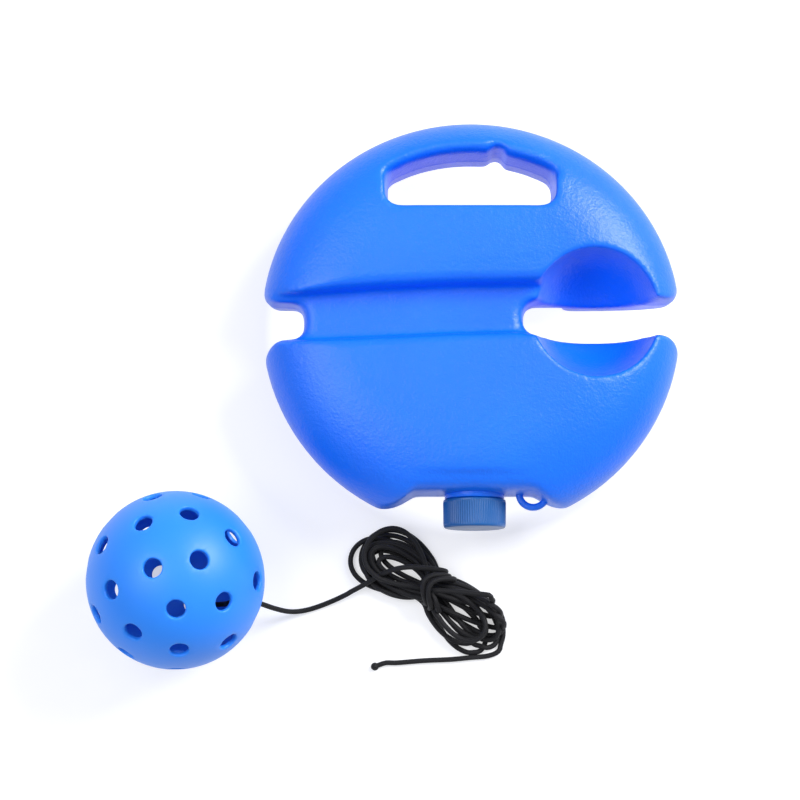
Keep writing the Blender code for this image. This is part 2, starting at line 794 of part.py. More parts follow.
def binding_path(hank):
    """The turns round the waist, and the run that leads from them to the last loop."""
    wound = np.array([hank_to_base(*point) for point in binding_turns()])
    end_way = direction(hank[-1], hank[-2])
    end = hank[-1] - end_way * CLEARANCE
    run = joining_curve(wound[-1], direction(wound[-2], wound[-1]), end, end_way, 0.012)
    return np.vstack((wound[:-1], run))


def inside_ball(x, y, z):
    return BALL_CENTRE + Vector((x, y, z))


def knot_centre():
    """The knot lies on the ball's inner wall, just clear of it as the ball turns."""
    x, y = KNOT_OFFSET
    reach = BALL_RADIUS - BALL_WALL - KNOT_CLEARANCE - KNOT_RADIUS
    return inside_ball(x, y, -math.sqrt(reach ** 2 - x ** 2 - y ** 2))


def make_cord(material):
    """The cord in the order it runs: out of the ball, along the ground, round the hank, loops and tail."""
    axis = cord_hole_axis()
    mouth = BALL_CENTRE + axis * BALL_RADIUS
    knot = knot_centre()
    inner = smooth_route((
        knot + Vector((KNOT_RADIUS + CLEARANCE, 0, 0)),
        knot + Vector((KNOT_RADIUS + 0.0025, 0, 0.0002)),
        inside_ball(0.0185, -0.0084, -0.0230),
        inside_ball(0.0215, -0.0080, -0.0180),
        mouth - axis * 0.0055 + Vector((0, 0, 0.0004)),
        mouth - axis * CLEARANCE / 2,
    ), SAMPLE_STEP)
    hank = hank_path()
    binding = binding_path(hank)
    outward = direction(binding[0], binding[1])
    lead_end = binding[0] - outward * CLEARANCE
    top = binding[0][2]
    lead = smooth_route((
        mouth + axis * CLEARANCE / 2,
        mouth + axis * 0.0045,
        (-0.0825, -0.1193, 0.0095),
        (-0.0770, -0.1203, 0.0046),
        (-0.0715, -0.1200, 0.0019),
        (-0.0650, -0.1183, 0.0012),
        (-0.0570, -0.1152, 0.0022),
        (-0.0500, -0.1120, 0.0050),
        hank_to_base(-0.0300, -0.0230, 0.0090),
        hank_to_base(-0.0225, -0.0165, top - 0.0020),
        hank_to_base(-0.0155, -0.0105, top - 0.0002),
        hank_to_base(-0.0095, -0.0060, top),
        lead_end - outward * 0.0030,
        lead_end,
    ), SAMPLE_STEP)
    tail_way = direction(hank[1], hank[0])
    tail = smooth_route((
        hank[0] + tail_way * CLEARANCE,
        hank[0] + tail_way * 0.0030,
        (-0.0120, -0.1404, CORD_RADIUS),
        (-0.0198, -0.1408, CORD_RADIUS),
        (-0.0311, -0.1417, CORD_RADIUS),
        (-0.0357, -0.1417, CORD_RADIUS),
        (-0.0391, -0.1428, CORD_RADIUS),
    ), SAMPLE_STEP)
    for name, path, resolution in (
        ("cord_in_ball", inner, 2),
        ("cord_lead", lead, 2),
        ("cord_binding", binding, 1),
        ("cord_hank", hank, 1),
        ("cord_tail", tail, 2),
    ):
        tube(name, path, resolution, material)
    make_end("ball_knot", knot, KNOT_RADIUS, material)
    tail_end_way = direction(tail[-2], tail[-1])
    make_end("cord_end_bead", tail[-1] + tail_end_way * (BEAD_RADIUS + CLEARANCE), BEAD_RADIUS, material)
    total = sum(path_length(path) for path in (inner, lead, binding, hank, tail))
    print(f"cord length {total * 1000:.0f} mm")
    print(f"least gap in the hank {least_gap(hank) * 1000:.2f} mm")
    print(f"least gap in the binding {least_gap(binding) * 1000:.2f} mm")
    print(f"least gap between hank and binding {least_gap(hank, binding[:-6]) * 1000:.2f} mm")
    print(f"least gap between lead and hank {least_gap(lead, hank) * 1000:.2f} mm")
    print(f"least gap between lead and binding {least_gap(lead[:-2], binding[2:]) * 1000:.2f} mm")
    print(f"least gap between tail and hank {least_gap(tail[2:], hank[2:]) * 1000:.2f} mm")


def make_end(name, centre, radius, material):
    mesh = bmesh.new()
    bmesh.ops.create_icosphere(mesh, subdivisions=2, radius=radius)
    piece = from_bmesh(name, mesh)
    piece.location = centre
    return finish(piece, material)


def main():
    clear_scene()
    tank_blue = plastic("tank blue", (0.035, 0.20, 0.90), 0.42)
    cap_blue = plastic("cap blue", (0.02, 0.10, 0.42), 0.38)
    liner_white = plastic("liner white", (0.80, 0.80, 0.78), 0.7)
    ball_blue = plastic("ball blue", (0.04, 0.24, 0.92), 0.45)
    cord_black = plastic("cord black", (0.012, 0.012, 0.014), 0.8)
    make_base(tank_blue)
    make_cap(cap_blue)
    make_liner(liner_white)
    make_ball(ball_blue)
    make_cord(cord_black)


main()
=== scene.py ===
"""The looks of the rope rebounder: finely moulded plastic, a perforated ball and one long elastic cord.

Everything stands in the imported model's frame, in metres: X right, Y towards the carrying handle, Z up.
Sizes repeat the part's own driving dimensions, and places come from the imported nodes.
"""

import math

import bmesh
import bpy
import numpy as np
from mathutils import Matrix, Vector


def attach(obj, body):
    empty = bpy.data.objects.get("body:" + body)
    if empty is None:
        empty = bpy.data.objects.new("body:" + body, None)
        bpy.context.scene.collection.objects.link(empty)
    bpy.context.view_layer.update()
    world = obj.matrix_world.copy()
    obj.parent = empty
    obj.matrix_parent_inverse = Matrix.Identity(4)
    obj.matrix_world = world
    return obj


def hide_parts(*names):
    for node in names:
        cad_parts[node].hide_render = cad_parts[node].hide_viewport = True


# The part's own dimensions
BASE_RADIUS = 0.0878
BASE_TOP = 0.0845
BASE_THICKNESS = 0.048
FACE_RADIUS = 0.045
RIM_POWER = 2.5
WALL = 0.0022
DRAFT = math.radians(3)
RECESS_DEPTH_Y = 0.0733
RECESS_LEFT = -0.0237
RECESS_RIGHT = 0.0260
FOOT_PROFILE = ((0.0045, 0.0030), (0.0085, 0.0049), (0.0130, 0.0058), (0.0190, 0.0052))
RECESS_ROLL = (0.007, 0.0205)
GRIP_DEPTH = 0.0158
HANDLE_FLOOR_Y = 0.0467
HANDLE_LEFT = -0.035
HANDLE_RIGHT = 0.034
HANDLE_CORNER = 0.005
GRIP_ROLL = (0.0065, 0.0195)
FINGER_NOTCH_X = 0.0107
FINGER_NOTCH_RADIUS = 0.003
SLOT_LOW_Y = -0.0066
SLOT_HIGH_Y = 0.0070
SLOT_END_X = 0.0217
NOTCH_LOW_Y = -0.0084
NOTCH_HIGH_Y = 0.0057
NOTCH_END_X = -0.070
SLOT_CORNER = 0.0058
NOTCH_CORNER = 0.005
SLOT_LIPS = ((0.0060, 0.0066), (0.0090, 0.0070))
NOTCH_LIPS = ((0.0065, 0.0060), (0.0105, 0.0085))
WAIST_END_LENGTH = 0.012
WAIST_END_ROLL = (0.004, 0.012)
GROOVE_DEPTH = 0.012
GROOVE_DRAFT = math.radians(5)
GROOVE_ROLL = 0.004
GROOVE_HIGH_EDGE = ((0.022, 0.0131), (-0.007, 0.0127), (-0.040, 0.0112), (-0.071, 0.0089))
GROOVE_LOW_EDGE = ((-0.071, -0.0102), (-0.040, -0.0088), (-0.007, -0.0073), (0.022, -0.0066))
SEAT_X = 0.0515
SEAT_Y = 0.0008
SEAT_RADIUS = 0.0268
SEAT_DEPTH = 0.0368
EYELET_X = 0.0256
EYELET_RISE = 0.0009
EYELET_RADIUS = 0.00725
EYELET_HOLE = 0.0044
EYELET_THICKNESS = 0.0034
NECK_X = 0.0012
NECK_RADIUS = 0.0103
COLLAR_RADIUS = 0.0124
NECK_BORE = 0.0085
NECK_LENGTH = 0.0105
CAP_RADIUS = 0.0131
CAP_WALL = 0.0014
CAP_HEIGHT = 0.0118
CAP_STANDOFF = 0.0019
CAP_RIBS = 80
THREAD_PITCH = 0.0032
THREAD_DEPTH = 0.0011
THREAD_CREST = 0.0008
THREAD_ROOT = 0.0013
NECK_THREAD_TURNS = 1.5
CAP_THREAD_TURNS = 1.0
NECK_THREAD_START = 0.0040
CLEARANCE = 0.0003
BALL_RADIUS = 0.0366
BALL_WALL = 0.002
BALL_X = -0.1219
BALL_Y = -0.1094
HOLE_RADIUS = 0.004
HOLE_RINGS = ((13.2, 8, 0.0), (38.3, 8, 22.5), (65.8, 4, 0.0))
LOWER_HALF_TURN = 22.5
BALL_TURN = (1.2, -35.0, -25.7)
CORD_HOLE_WAY = (0.8, -0.2, -0.5)
CORD_RADIUS = 0.0011
KNOT_RADIUS = 0.0046
BEAD_RADIUS = 0.0017
KNOT_OFFSET = (0.008, -0.0085)
KNOT_CLEARANCE = 0.0008

# The cord's route: inside the ball from its centre, over the floor, and up over the hank's left lobe
# in the hank's own directions, along and across it; then, after the loops, its tail on the floor
IN_BALL_ROUTE = ((0.0185, -0.0084, -0.0230), (0.0215, -0.0080, -0.0180))
MOUTH_INSIDE = 0.0055
MOUTH_OUTSIDE = 0.0045
MOUTH_RISE = 0.0004
LEAD_ROUTE = (
    (-0.0825, -0.1193, 0.0095),
    (-0.0770, -0.1203, 0.0046),
    (-0.0715, -0.1200, 0.0019),
    (-0.0650, -0.1183, 0.0012),
    (-0.0570, -0.1152, 0.0022),
    (-0.0500, -0.1120, 0.0050),
)
OVER_LOBE_ROUTE = (
    (-0.0236, -0.0152, 0.0078),
    (-0.0206, -0.0098, 0.0112),
    (-0.0168, -0.0040, 0.0142),
    (-0.0112, 0.0012, 0.0156),
)
TAIL_ROUTE = (
    (0.0118, -0.1368),
    (0.0072, -0.1388),
    (0.0000, -0.1395),
    (-0.0085, -0.1403),
    (-0.0198, -0.1408),
    (-0.0311, -0.1417),
    (-0.0357, -0.1417),
    (-0.0391, -0.1428),
)
HANK_X = -0.0167
HANK_Y = -0.1111
HANK_TURN = math.radians(-35.6)

# The hank, wound from its tail: each loop's reach, half its width, its swing and its lean, in degrees
RIGHT_LOOPS = (
    (0.0368, 0.0080, -5, 0),
    (0.0325, 0.0066, -11, 0),
    (0.0355, 0.0060, -2, 0),
    (0.0285, 0.0066, -8, 0),
    (0.0335, 0.0066, 3, 10),
    (0.0290, 0.0046, -3, 20),
    (0.0335, 0.0075, 1, 30),
    (0.0340, 0.0088, 9, 75),
    (0.0300, 0.0088, 18, 75),
    (0.0290, 0.0066, -5, 15),
    (0.0262, 0.0076, 24, 80),
)
LEFT_LOOPS = (
    (0.0325, 0.0098, -1, 0),
    (0.0300, 0.0060, -7, 0),
    (0.0318, 0.0066, 6, 0),
    (0.0372, 0.0092, -9, 0),
    (0.0312, 0.0086, -3, 0),
    (0.0272, 0.0040, 4, 0),
    (0.0322, 0.0060, -4, 0),
    (0.0250, 0.0036, -7, 0),
    (0.0300, 0.0054, 3, 0),
    (0.0330, 0.0106, 7, 0),
)
# Where the two runs of each turn pass the waist: steps from its middle, and row
WAIST_SLOTS = ((1.5, 0), (0.5, 0), (2, 1), (1, 1), (1.5, 2), (0.5, 2), (2, 3), (1, 3), (1.5, 4), (0.5, 4))
SLOT_STEP = 0.00216
ROW_STEP = 0.00187
LOOP_RISE = 0.0018
LOOP_SAMPLES = 15
WAIST_V = 0.0014
LAST_RUN_V = 0.004
WRAP_RADIUS = 0.0070
WRAP_TURNS = 3
WRAP_SAMPLES = 12
WRAP_START_TURN = 0.14
WRAP_START_U = -0.0064
WRAP_PITCH = 0.0029
WRAP_BOW = 0.0068

# How the hank settles: in each step the cord sinks, is drawn towards its route, keeps its bends over
# these reaches along it, and is pushed apart where it touches itself
CORD_STEP = 0.0016
SETTLE_STEPS = 500
SINK = 0.00006
LOOP_PULL = 0.004
WRAP_PULL = 0.05
LEAST_FADE = 0.1
BEND = 0.3
BEND_REACHES = (1, 3)
PUSH = 0.8
LEAST_DISTANCE = CORD_RADIUS / 1000
NEIGHBOURS = 5
SEARCH_REACH = 3.5 * CORD_RADIUS
STEPS_PER_SEARCH = 8

# Finer sampling and finish than the part's
VOXEL = 0.0008
SMOOTH_PASSES = 36
CAVITY_VOXEL = 0.0016
TRIM = 0.0002
MARGIN = 0.01
ROUND_STEPS = 96
CORNER_STEPS = 10
MOUTH_STEPS = 8
ROLL_STEPS = 8
RIM_STEPS = 30
GRIP_STEPS = 28
FINGER_NOTCH_STEPS = 24
SEAT_SUBDIVISIONS = 5
SEAM_HEIGHT = 0.00022
SEAM_WIDTH = 0.0006
EYELET_ROUND = 0.6
EYELET_STEPS = 4
THREAD_STEPS = 72
THREAD_FADE = 8
THREAD_END_SHARE = 0.05
CAP_THREAD_TURNED = 0.25
CAP_EDGE = 0.0010
CAP_EDGE_STEPS = 4
CAP_LIP = 0.0009
CAP_LIP_INSET = 0.0004
CAP_LIP_ROUND = 0.0003
CAP_TAPER = 0.0001
RIB_DEPTH = 0.0003
RIB_FADE = 0.0004
RIB_SAMPLES = 8
BALL_POINTS = 4500
HOLE_STEPS = 36
HOLE_BORDER = 0.0015
# How far the ball's skin has dropped at distances from a hole's edge
HOLE_EDGE = ((0.0, 0.00045), (0.0001, 0.0002), (0.0003, 0.00005), (0.0007, 0.0))
TUBE_STEP = 0.75 * CORD_STEP
CORD_SIDES = 10
CORD_SHARP = 80
CURVE_SAMPLES = 12
KNOT_SAMPLES = 60
BEAD_SAMPLES = 13
BEAD_REACH = 0.8
BEAD_TIP_SHARE = 0.02

# Materials: colours are linear, depths in metres and scales in waves a metre
TANK_PLASTIC = {
    "dark": (0.001, 0.140, 0.86),
    "light": (0.002, 0.162, 0.90),
    "roughness": 0.36,
    "grain_scale": 800,
    "grain_depth": 0.00024,
    "subsurface": 0.08,
}
CAP_PLASTIC = {
    "dark": (0.002, 0.080, 0.27),
    "light": (0.004, 0.095, 0.33),
    "roughness": 0.34,
    "grain_scale": 1600,
    "grain_depth": 0.00003,
    "subsurface": 0.04,
}
BALL_PLASTIC = {
    "dark": (0.012, 0.225, 0.92),
    "light": (0.017, 0.25, 0.96),
    "roughness": 0.45,
    "grain_scale": 1400,
    "grain_depth": 0.00003,
    "subsurface": 0.10,
}
DRIFT_SCALE = 18
WEAR_SCALE = 60
WEAR = 0.04
BRAID_STEP = 0.0006
BRAID_STRANDS = 16
BRAID_DEPTH = 0.00012
# The valleys between the braid's strands are coloured darker than the strands: painted shade
BRAID_SHADED_VALLEY_COLOUR = (0.0015, 0.0015, 0.002)
BRAID_STRAND_COLOUR = (0.0075, 0.007, 0.009)
# At this scale a diagonal wave repeats at every second whole step of its coordinates
BRAID_WAVE_SCALE = math.pi / 10
FUZZ_SCALE = 6000
FUZZ_DEPTH = 0.00005
FOAM_DARK = (0.70, 0.70, 0.68)
FOAM_LIGHT = (0.86, 0.86, 0.84)
FOAM_SCALE = 1500
FOAM_DEPTH = 0.00008

# The photograph's camera, placed from the middle of the base
CAMERA_FOCAL_PX = 2800
IMAGE_PX = 800
SENSOR_MM = 36
CAMERA_TILT = math.radians(7.8)
CAMERA_PLACE = Vector((-0.0298, -0.1921, 1.1846))
CAMERA_CLIP = 0.01

# The studio: a white room, a lamp on the right, a weaker one on the left, and a floor that glows brighter
# under the base, a painted pool of light
FLOOR_SIZE = 6
FLOOR_COLOUR = (0.55, 0.57, 0.60, 1)
FLOOR_SEEN_COLOUR = (0.55, 0.55, 0.57, 1)
FLOOR_GLOW = 0.52
# The floor's brighter glow under the base, within a radius and fading over an edge: a painted pool of
# light that lifts the shade there
UNDER_BASE_PAINTED_GLOW = 0.90
PAINTED_GLOW_RADIUS = 0.079
PAINTED_GLOW_EDGE = 0.009
WORLD_COLOUR = (0.46, 0.48, 0.52, 1)
KEY_PLACE = (1.1, 0.75, 1.1)
KEY_SIZE = 0.8
KEY_POWER = 32
FILL_PLACE = (-0.9, 0.1, 1.6)
FILL_SIZE = 1.2
FILL_POWER = 15

MID = BASE_THICKNESS / 2
BALL_CENTRE = Vector((BALL_X, BALL_Y, BALL_RADIUS))
CAP_BORE = NECK_RADIUS + THREAD_DEPTH + CLEARANCE
ORIGIN = Vector((
    -(BALL_X - BALL_RADIUS + BASE_RADIUS) / 2,
    -(BALL_Y - BALL_RADIUS + BASE_TOP) / 2,
    0,
))


# Meshes

def add_object(name, data):
    """A new object in the scene."""
    item = bpy.data.objects.new(name, data)
    bpy.context.scene.collection.objects.link(item)
    return item


def from_bmesh(name, mesh):
    """A new object from a bmesh, its faces turned outward."""
    bmesh.ops.recalc_face_normals(mesh, faces=mesh.faces)
    data = bpy.data.meshes.new(name)
    mesh.to_mesh(data)
    mesh.free()
    return add_object(name, data)


def apply_modifiers(item):
    """Replaces an object's mesh with what its modifiers make of it."""
    bpy.context.view_layer.update()
    evaluated = item.evaluated_get(bpy.context.evaluated_depsgraph_get())
    data = bpy.data.meshes.new_from_object(evaluated)
    item.modifiers.clear()
    item.data = data
    return item


def combine(item, others, operation):
    """Cuts, joins or trims an object with others, which are then removed."""
    for other in others:
        step = item.modifiers.new(other.name, "BOOLEAN")
        step.operation = operation
        step.object = other
    apply_modifiers(item)
    for other in others:
        bpy.data.objects.remove(other, do_unlink=True)
    return item


def finish(item, material, body, *nodes, sharp=40):
    """Material, smooth shading, place, body and the CAD nodes that the piece stands for."""
    item.data.materials.clear()
    item.data.materials.append(material)
    item.data.shade_smooth()
    item.data.set_sharp_from_angle(angle=math.radians(sharp))
    item.location += ORIGIN
    bpy.context.view_layer.update()
    item.data.transform(item.matrix_world)
    item.matrix_world = Matrix.Identity(4)
    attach(item, body)
    if nodes:
        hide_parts(*nodes)
    return item


def rounded_outline(corners):
    """An anticlockwise outline through corners (x, y, radius), each radius drawn as an arc."""
    outline = []
    for index, (x, y, radius) in enumerate(corners):
        corner = Vector((x, y))
        if radius == 0:
            outline.append(corner)
            continue
        back = (Vector(corners[index - 1][:2]) - corner).normalized()
        ahead = (Vector(corners[(index + 1) % len(corners)][:2]) - corner).normalized()
        half = back.angle(ahead) / 2
        centre = corner + (back + ahead).normalized() * radius / math.sin(half)
        start = corner + back * radius / math.tan(half) - centre
        end = corner + ahead * radius / math.tan(half) - centre
        for step in range(CORNER_STEPS + 1):
            spoke = start.lerp(end, step / CORNER_STEPS)
            outline.append(centre + spoke.normalized() * radius)
    return outline


def widened(outline, distance, roll=0, way=None):
    """The outline with each point moved outward, and by the roll as far as it faces the given way."""
    moved = []
    for index, point in enumerate(outline):
        along = (outline[(index + 1) % len(outline)] - outline[index - 1]).normalized()
        outward = Vector((along.y, -along.x))
        share = max(0, outward.dot(way)) if way else 1
        moved.append(point + outward * (distance + roll * share))
    return moved


def rolled(rise, radius, end):
    """How far a wall that rounds over has moved at a height; the round begins a radius below its end."""
    past = min(max(rise - end + radius, 0), radius)
    return radius - math.sqrt(radius ** 2 - past ** 2)


def through_rings(name, rings):
    """A closed body through rings of places, with a face across each end."""
    mesh = bmesh.new()
    rings = [[mesh.verts.new(place) for place in ring] for ring in rings]
    for lower, upper in zip(rings, rings[1:]):
        for index in range(len(lower)):
            after = (index + 1) % len(lower)
            mesh.faces.new((lower[index], lower[after], upper[after], upper[index]))
    mesh.faces.new(rings[0][::-1])
    mesh.faces.new(rings[-1])
    return from_bmesh(name, mesh)


def prism(name, sections):
    """A solid through outlines at rising heights, given as (height, outline) pairs."""
    return through_rings(name, [[(p.x, p.y, height) for p in outline] for height, outline in sections])


def lathe(name, profile, steps=ROUND_STEPS):
    """A solid turned about Z from a closed profile of (radius, height) points."""
    mesh = bmesh.new()
    points = [mesh.verts.new((radius, 0, height)) for radius, height in profile]
    edges = [mesh.edges.new((a, b)) for a, b in zip(points, points[1:])]
    if min(radius for radius, _ in profile) > 0:
        edges.append(mesh.edges.new((points[-1], points[0])))
    bmesh.ops.spin(mesh, geom=points + edges, axis=(0, 0, 1), cent=(0, 0, 0), steps=steps, angle=math.tau)
    bmesh.ops.remove_doubles(mesh, verts=mesh.verts, dist=1e-6)
    return from_bmesh(name, mesh)


# Materials

class Nodes:
    """A material's node tree, with short calls to add and join its nodes."""

    def __init__(self, name):
        self.material = bpy.data.materials.new(name)
        self.material.use_nodes = True
        self.tree = self.material.node_tree
        self.shader = self.tree.nodes["Principled BSDF"]

    def add(self, kind, **settings):
        node = self.tree.nodes.new(kind)
        for key, value in settings.items():
            if key in node.inputs:
                node.inputs[key].default_value = value
            else:
                setattr(node, key, value)
        return node

    def join(self, output, target):
        self.tree.links.new(output, target)

    def shade(self, **settings):
        """Sets inputs of the shader; an underscore stands for a space in an input's name."""
        for key, value in settings.items():
            self.shader.inputs[key.replace("_", " ")].default_value = value

    def maths(self, operation, first, second):
        node = self.add("ShaderNodeMath", operation=operation)
        self.join(first, node.inputs[0])
        self.join(second, node.inputs[1])
        return node.outputs["Value"]

    def place(self):
        return self.add("ShaderNodeTexCoord").outputs["Object"]

    def noise(self, scale, detail, roughness=0.5):
        node = self.add("ShaderNodeTexNoise", Scale=scale, Detail=detail, Roughness=roughness)
        self.join(self.place(), node.inputs["Vector"])
        return node.outputs["Fac"]

    def ramp(self, factor, *stops):
        node = self.add("ShaderNodeValToRGB")
        while len(node.color_ramp.elements) < len(stops):
            node.color_ramp.elements.new(0.5)
        for element, (position, colour) in zip(node.color_ramp.elements, stops):
            element.position = position
            element.color = (*colour, 1)
        self.join(factor, node.inputs["Fac"])
        return node.outputs["Color"]

    def bump(self, height, strength, distance, under=None):
        node = self.add("ShaderNodeBump", Strength=strength, Distance=distance)
        self.join(height, node.inputs["Height"])
        if under is not None:
            self.join(under, node.inputs["Normal"])
        return node.outputs["Normal"]

    def range(self, factor, low, high, start=0, end=1):
        node = self.add("ShaderNodeMapRange")
        for name, value in (("From Min", start), ("From Max", end), ("To Min", low), ("To Max", high)):
            node.inputs[name].default_value = value
        self.join(factor, node.inputs["Value"])
        return node.outputs["Result"]


def moulded_plastic(name, dark, light, roughness, grain_scale, grain_depth, subsurface):
    """Plastic whose colour drifts slightly over the surface, with a fine moulded grain."""
    nodes = Nodes(name)
    drift = nodes.ramp(nodes.noise(DRIFT_SCALE, 3), (0.3, dark), (0.7, light))
    wear = nodes.range(nodes.noise(WEAR_SCALE, 3), roughness - WEAR, roughness + WEAR)
    coarse = nodes.bump(nodes.noise(grain_scale / 4, 1), 0.3, grain_depth * 2)
    grain = nodes.bump(nodes.noise(grain_scale, 3, 0.6), 1.0, grain_depth, coarse)
    nodes.join(drift, nodes.shader.inputs["Base Color"])
    nodes.join(wear, nodes.shader.inputs["Roughness"])
    nodes.join(grain, nodes.shader.inputs["Normal"])
    nodes.shade(IOR=1.5, Subsurface_Weight=subsurface)
    nodes.shade(Subsurface_Radius=(0.2, 0.6, 1.0), Subsurface_Scale=0.003)
    return nodes.material


def braided_cord(name):
    """Black braid over an elastic core: strands cross on a lattice that follows the tube's UV map."""
    nodes = Nodes(name)
    uv = nodes.add("ShaderNodeUVMap", uv_map="Around")
    heights = []
    for sign in (1, -1):
        mapping = nodes.add("ShaderNodeMapping")
        mapping.inputs["Scale"].default_value = (1 / BRAID_STEP, BRAID_STRANDS * sign, 0)
        nodes.join(uv.outputs["UV"], mapping.inputs["Vector"])
        wave = nodes.add("ShaderNodeTexWave", wave_type="BANDS", bands_direction="DIAGONAL")
        wave.inputs["Scale"].default_value = BRAID_WAVE_SCALE
        nodes.join(mapping.outputs["Vector"], wave.inputs["Vector"])
        heights.append(wave.outputs["Fac"])
    lattice = nodes.maths("MAXIMUM", *heights)
    # Darker in the valleys and lighter on the strands, following the lattice's height: painted shade
    # between the strands
    colour = nodes.ramp(lattice, (0.2, BRAID_SHADED_VALLEY_COLOUR), (0.9, BRAID_STRAND_COLOUR))
    nodes.join(colour, nodes.shader.inputs["Base Color"])
    fuzz = nodes.bump(nodes.noise(FUZZ_SCALE, 2), 0.3, FUZZ_DEPTH)
    nodes.join(nodes.bump(lattice, 0.8, BRAID_DEPTH, fuzz), nodes.shader.inputs["Normal"])
    nodes.shade(Roughness=0.62, Specular_IOR_Level=0.3, Sheen_Weight=0.04, Sheen_Roughness=0.4)
    return nodes.material


def liner_foam(name):
    """White closed-cell foam with fine pits."""
    nodes = Nodes(name)
    cells = nodes.ramp(nodes.noise(FOAM_SCALE, 3), (0.3, FOAM_DARK), (0.7, FOAM_LIGHT))
    nodes.join(cells, nodes.shader.inputs["Base Color"])
    pits = nodes.bump(nodes.noise(2 * FOAM_SCALE, 2), 0.5, FOAM_DEPTH)
    nodes.join(pits, nodes.shader.inputs["Normal"])
    nodes.shade(Roughness=0.8)
    return nodes.material


# The cord and its hank

def resampled(path, step):
    """A path's points at even distances, its two ends kept."""
    lengths = np.concatenate(([0], np.cumsum(np.linalg.norm(np.diff(path, axis=0), axis=1))))
    places = np.linspace(0, lengths[-1], max(2, round(lengths[-1] / step) + 1))
    return np.column_stack([np.interp(places, lengths, path[:, axis]) for axis in range(3)])


def smooth_line(points):
    """A smooth curve through a cord's chosen points."""
    route = np.array(points)
    route = np.vstack((2 * route[0] - route[1], route, 2 * route[-1] - route[-2]))
    dense = []
    for before, start, end, after in zip(route, route[1:], route[2:], route[3:]):
        for share in np.linspace(0, 1, CURVE_SAMPLES, endpoint=False):
            dense.append(0.5 * (
                2 * start
                + (end - before) * share
                + (2 * before - 5 * start + 4 * end - after) * share ** 2
                + (3 * start - before - 3 * end + after) * share ** 3
            ))
    return np.vstack((dense, route[-2]))


def hank_to_base(points):
    """From the hank's own directions, along and across it, to the base's."""
    cosine, sine = math.cos(HANK_TURN), math.sin(HANK_TURN)
    turn = np.array(((cosine, sine, 0), (-sine, cosine, 0), (0, 0, 1)))
    return np.array(points) @ turn + (HANK_X, HANK_Y, 0)


def waist_slot(turn, side):
    """Across and up: where a turn's run passes through the waist."""
    steps, row = WAIST_SLOTS[turn]
    middle = WAIST_SLOTS[-1][1] / 2
    return WAIST_V + side * steps * SLOT_STEP, CORD_RADIUS + WRAP_RADIUS + (row - middle) * ROW_STEP


def loop_points(side, loop, start, end, level):
    """One loop, from the waist round its end and back, swung sideways and leaned over."""
    reach, width, swing, lean = loop
    swing, lean = math.radians(swing) * side, math.radians(lean)
    share = np.linspace(0, 1, LOOP_SAMPLES, endpoint=False)
    along = side * reach * np.sin(math.pi * share)
    across = -side * width * np.sin(math.tau * share)
    flat = across * math.cos(lean)
    near = np.cos(math.pi * share) ** 2
    ease = share * share * (3 - 2 * share)
    waist_v, waist_z = (near * (a + (b - a) * ease) for a, b in zip(start, end))
    u = along * math.cos(swing) - flat * math.sin(swing)
    v = along * math.sin(swing) + flat * math.cos(swing) + waist_v
    z = waist_z + (1 - near) * (level + side * across * math.sin(lean))
    return np.stack((u, v, z), axis=-1)


def hank_points():
    """The hank's loops in turn, right and left, each laid above the last."""
    loops = []
    over_waist = (LAST_RUN_V, CORD_RADIUS + 2 * WRAP_RADIUS)
    for turn, loop in enumerate(RIGHT_LOOPS):
        start = waist_slot(turn - 1, -1) if turn else (0, 0)
        end = waist_slot(turn, 1) if turn < len(LEFT_LOOPS) else over_waist
        loops.append(loop_points(1, loop, start, end, CORD_RADIUS + turn * LOOP_RISE))
        if turn < len(LEFT_LOOPS):
            level = CORD_RADIUS + (turn + 0.5) * LOOP_RISE
            loops.append(loop_points(-1, LEFT_LOOPS[turn], end, waist_slot(turn, -1), level))
    loops[0] = loops[0][LOOP_SAMPLES // 2 + 1:]
    loops[-1] = loops[-1][:-LOOP_SAMPLES // 4]
    return np.vstack(loops)


def wrap_points():
    """The turns round the waist: a helix that bows towards the left on its way over the top."""
    turns = np.arange(WRAP_START_TURN, WRAP_TURNS, 1 / WRAP_SAMPLES)
    angle = math.tau * turns
    u = WRAP_START_U + WRAP_PITCH * turns + WRAP_BOW * np.sin(angle) ** 2
    v = WAIST_V + WRAP_RADIUS * np.sin(angle)
    return np.stack((u, v, CORD_RADIUS + WRAP_RADIUS + WRAP_RADIUS * np.cos(angle)), axis=-1)


def near_pairs(points, reach):
    """Pairs of places on the cord that lie close together without being neighbours along it."""
    squares = (points ** 2).sum(axis=1)
    apart = squares[:, None] + squares - 2 * points @ points.T
    return np.nonzero(np.triu(apart < reach ** 2, NEIGHBOURS))


def push_apart(points, pairs, free):
    """Moves places that touch until they lie a cord's thickness apart."""
    first, second = pairs
    way = points[second] - points[first]
    distance = np.linalg.norm(way, axis=1)
    touching = distance < 2 * CORD_RADIUS
    first, second = first[touching], second[touching]
    overlap = 2 * CORD_RADIUS / np.maximum(distance[touching], LEAST_DISTANCE) - 1
    way = PUSH * way[touching] * (overlap / np.maximum(free[first] + free[second], 1))[:, None]
    for axis in range(3):
        points[:, axis] += np.bincount(second, way[:, axis] * free[second], len(points))
        points[:, axis] -= np.bincount(first, way[:, axis] * free[first], len(points))


def keep_length(points, rest, free):
    """Draws neighbours along the cord back to their distance, every other pair at a time."""
    for start in (0, 1):
        here = np.arange(start, len(rest), 2)
        way = points[here + 1] - points[here]
        length = np.linalg.norm(way, axis=1)
        share = free[here] + free[here + 1]
        way *= ((length - rest[here]) / length / np.maximum(share, 1))[:, None]
        points[here] += way * free[here, None]
        points[here + 1] -= way * free[here + 1, None]


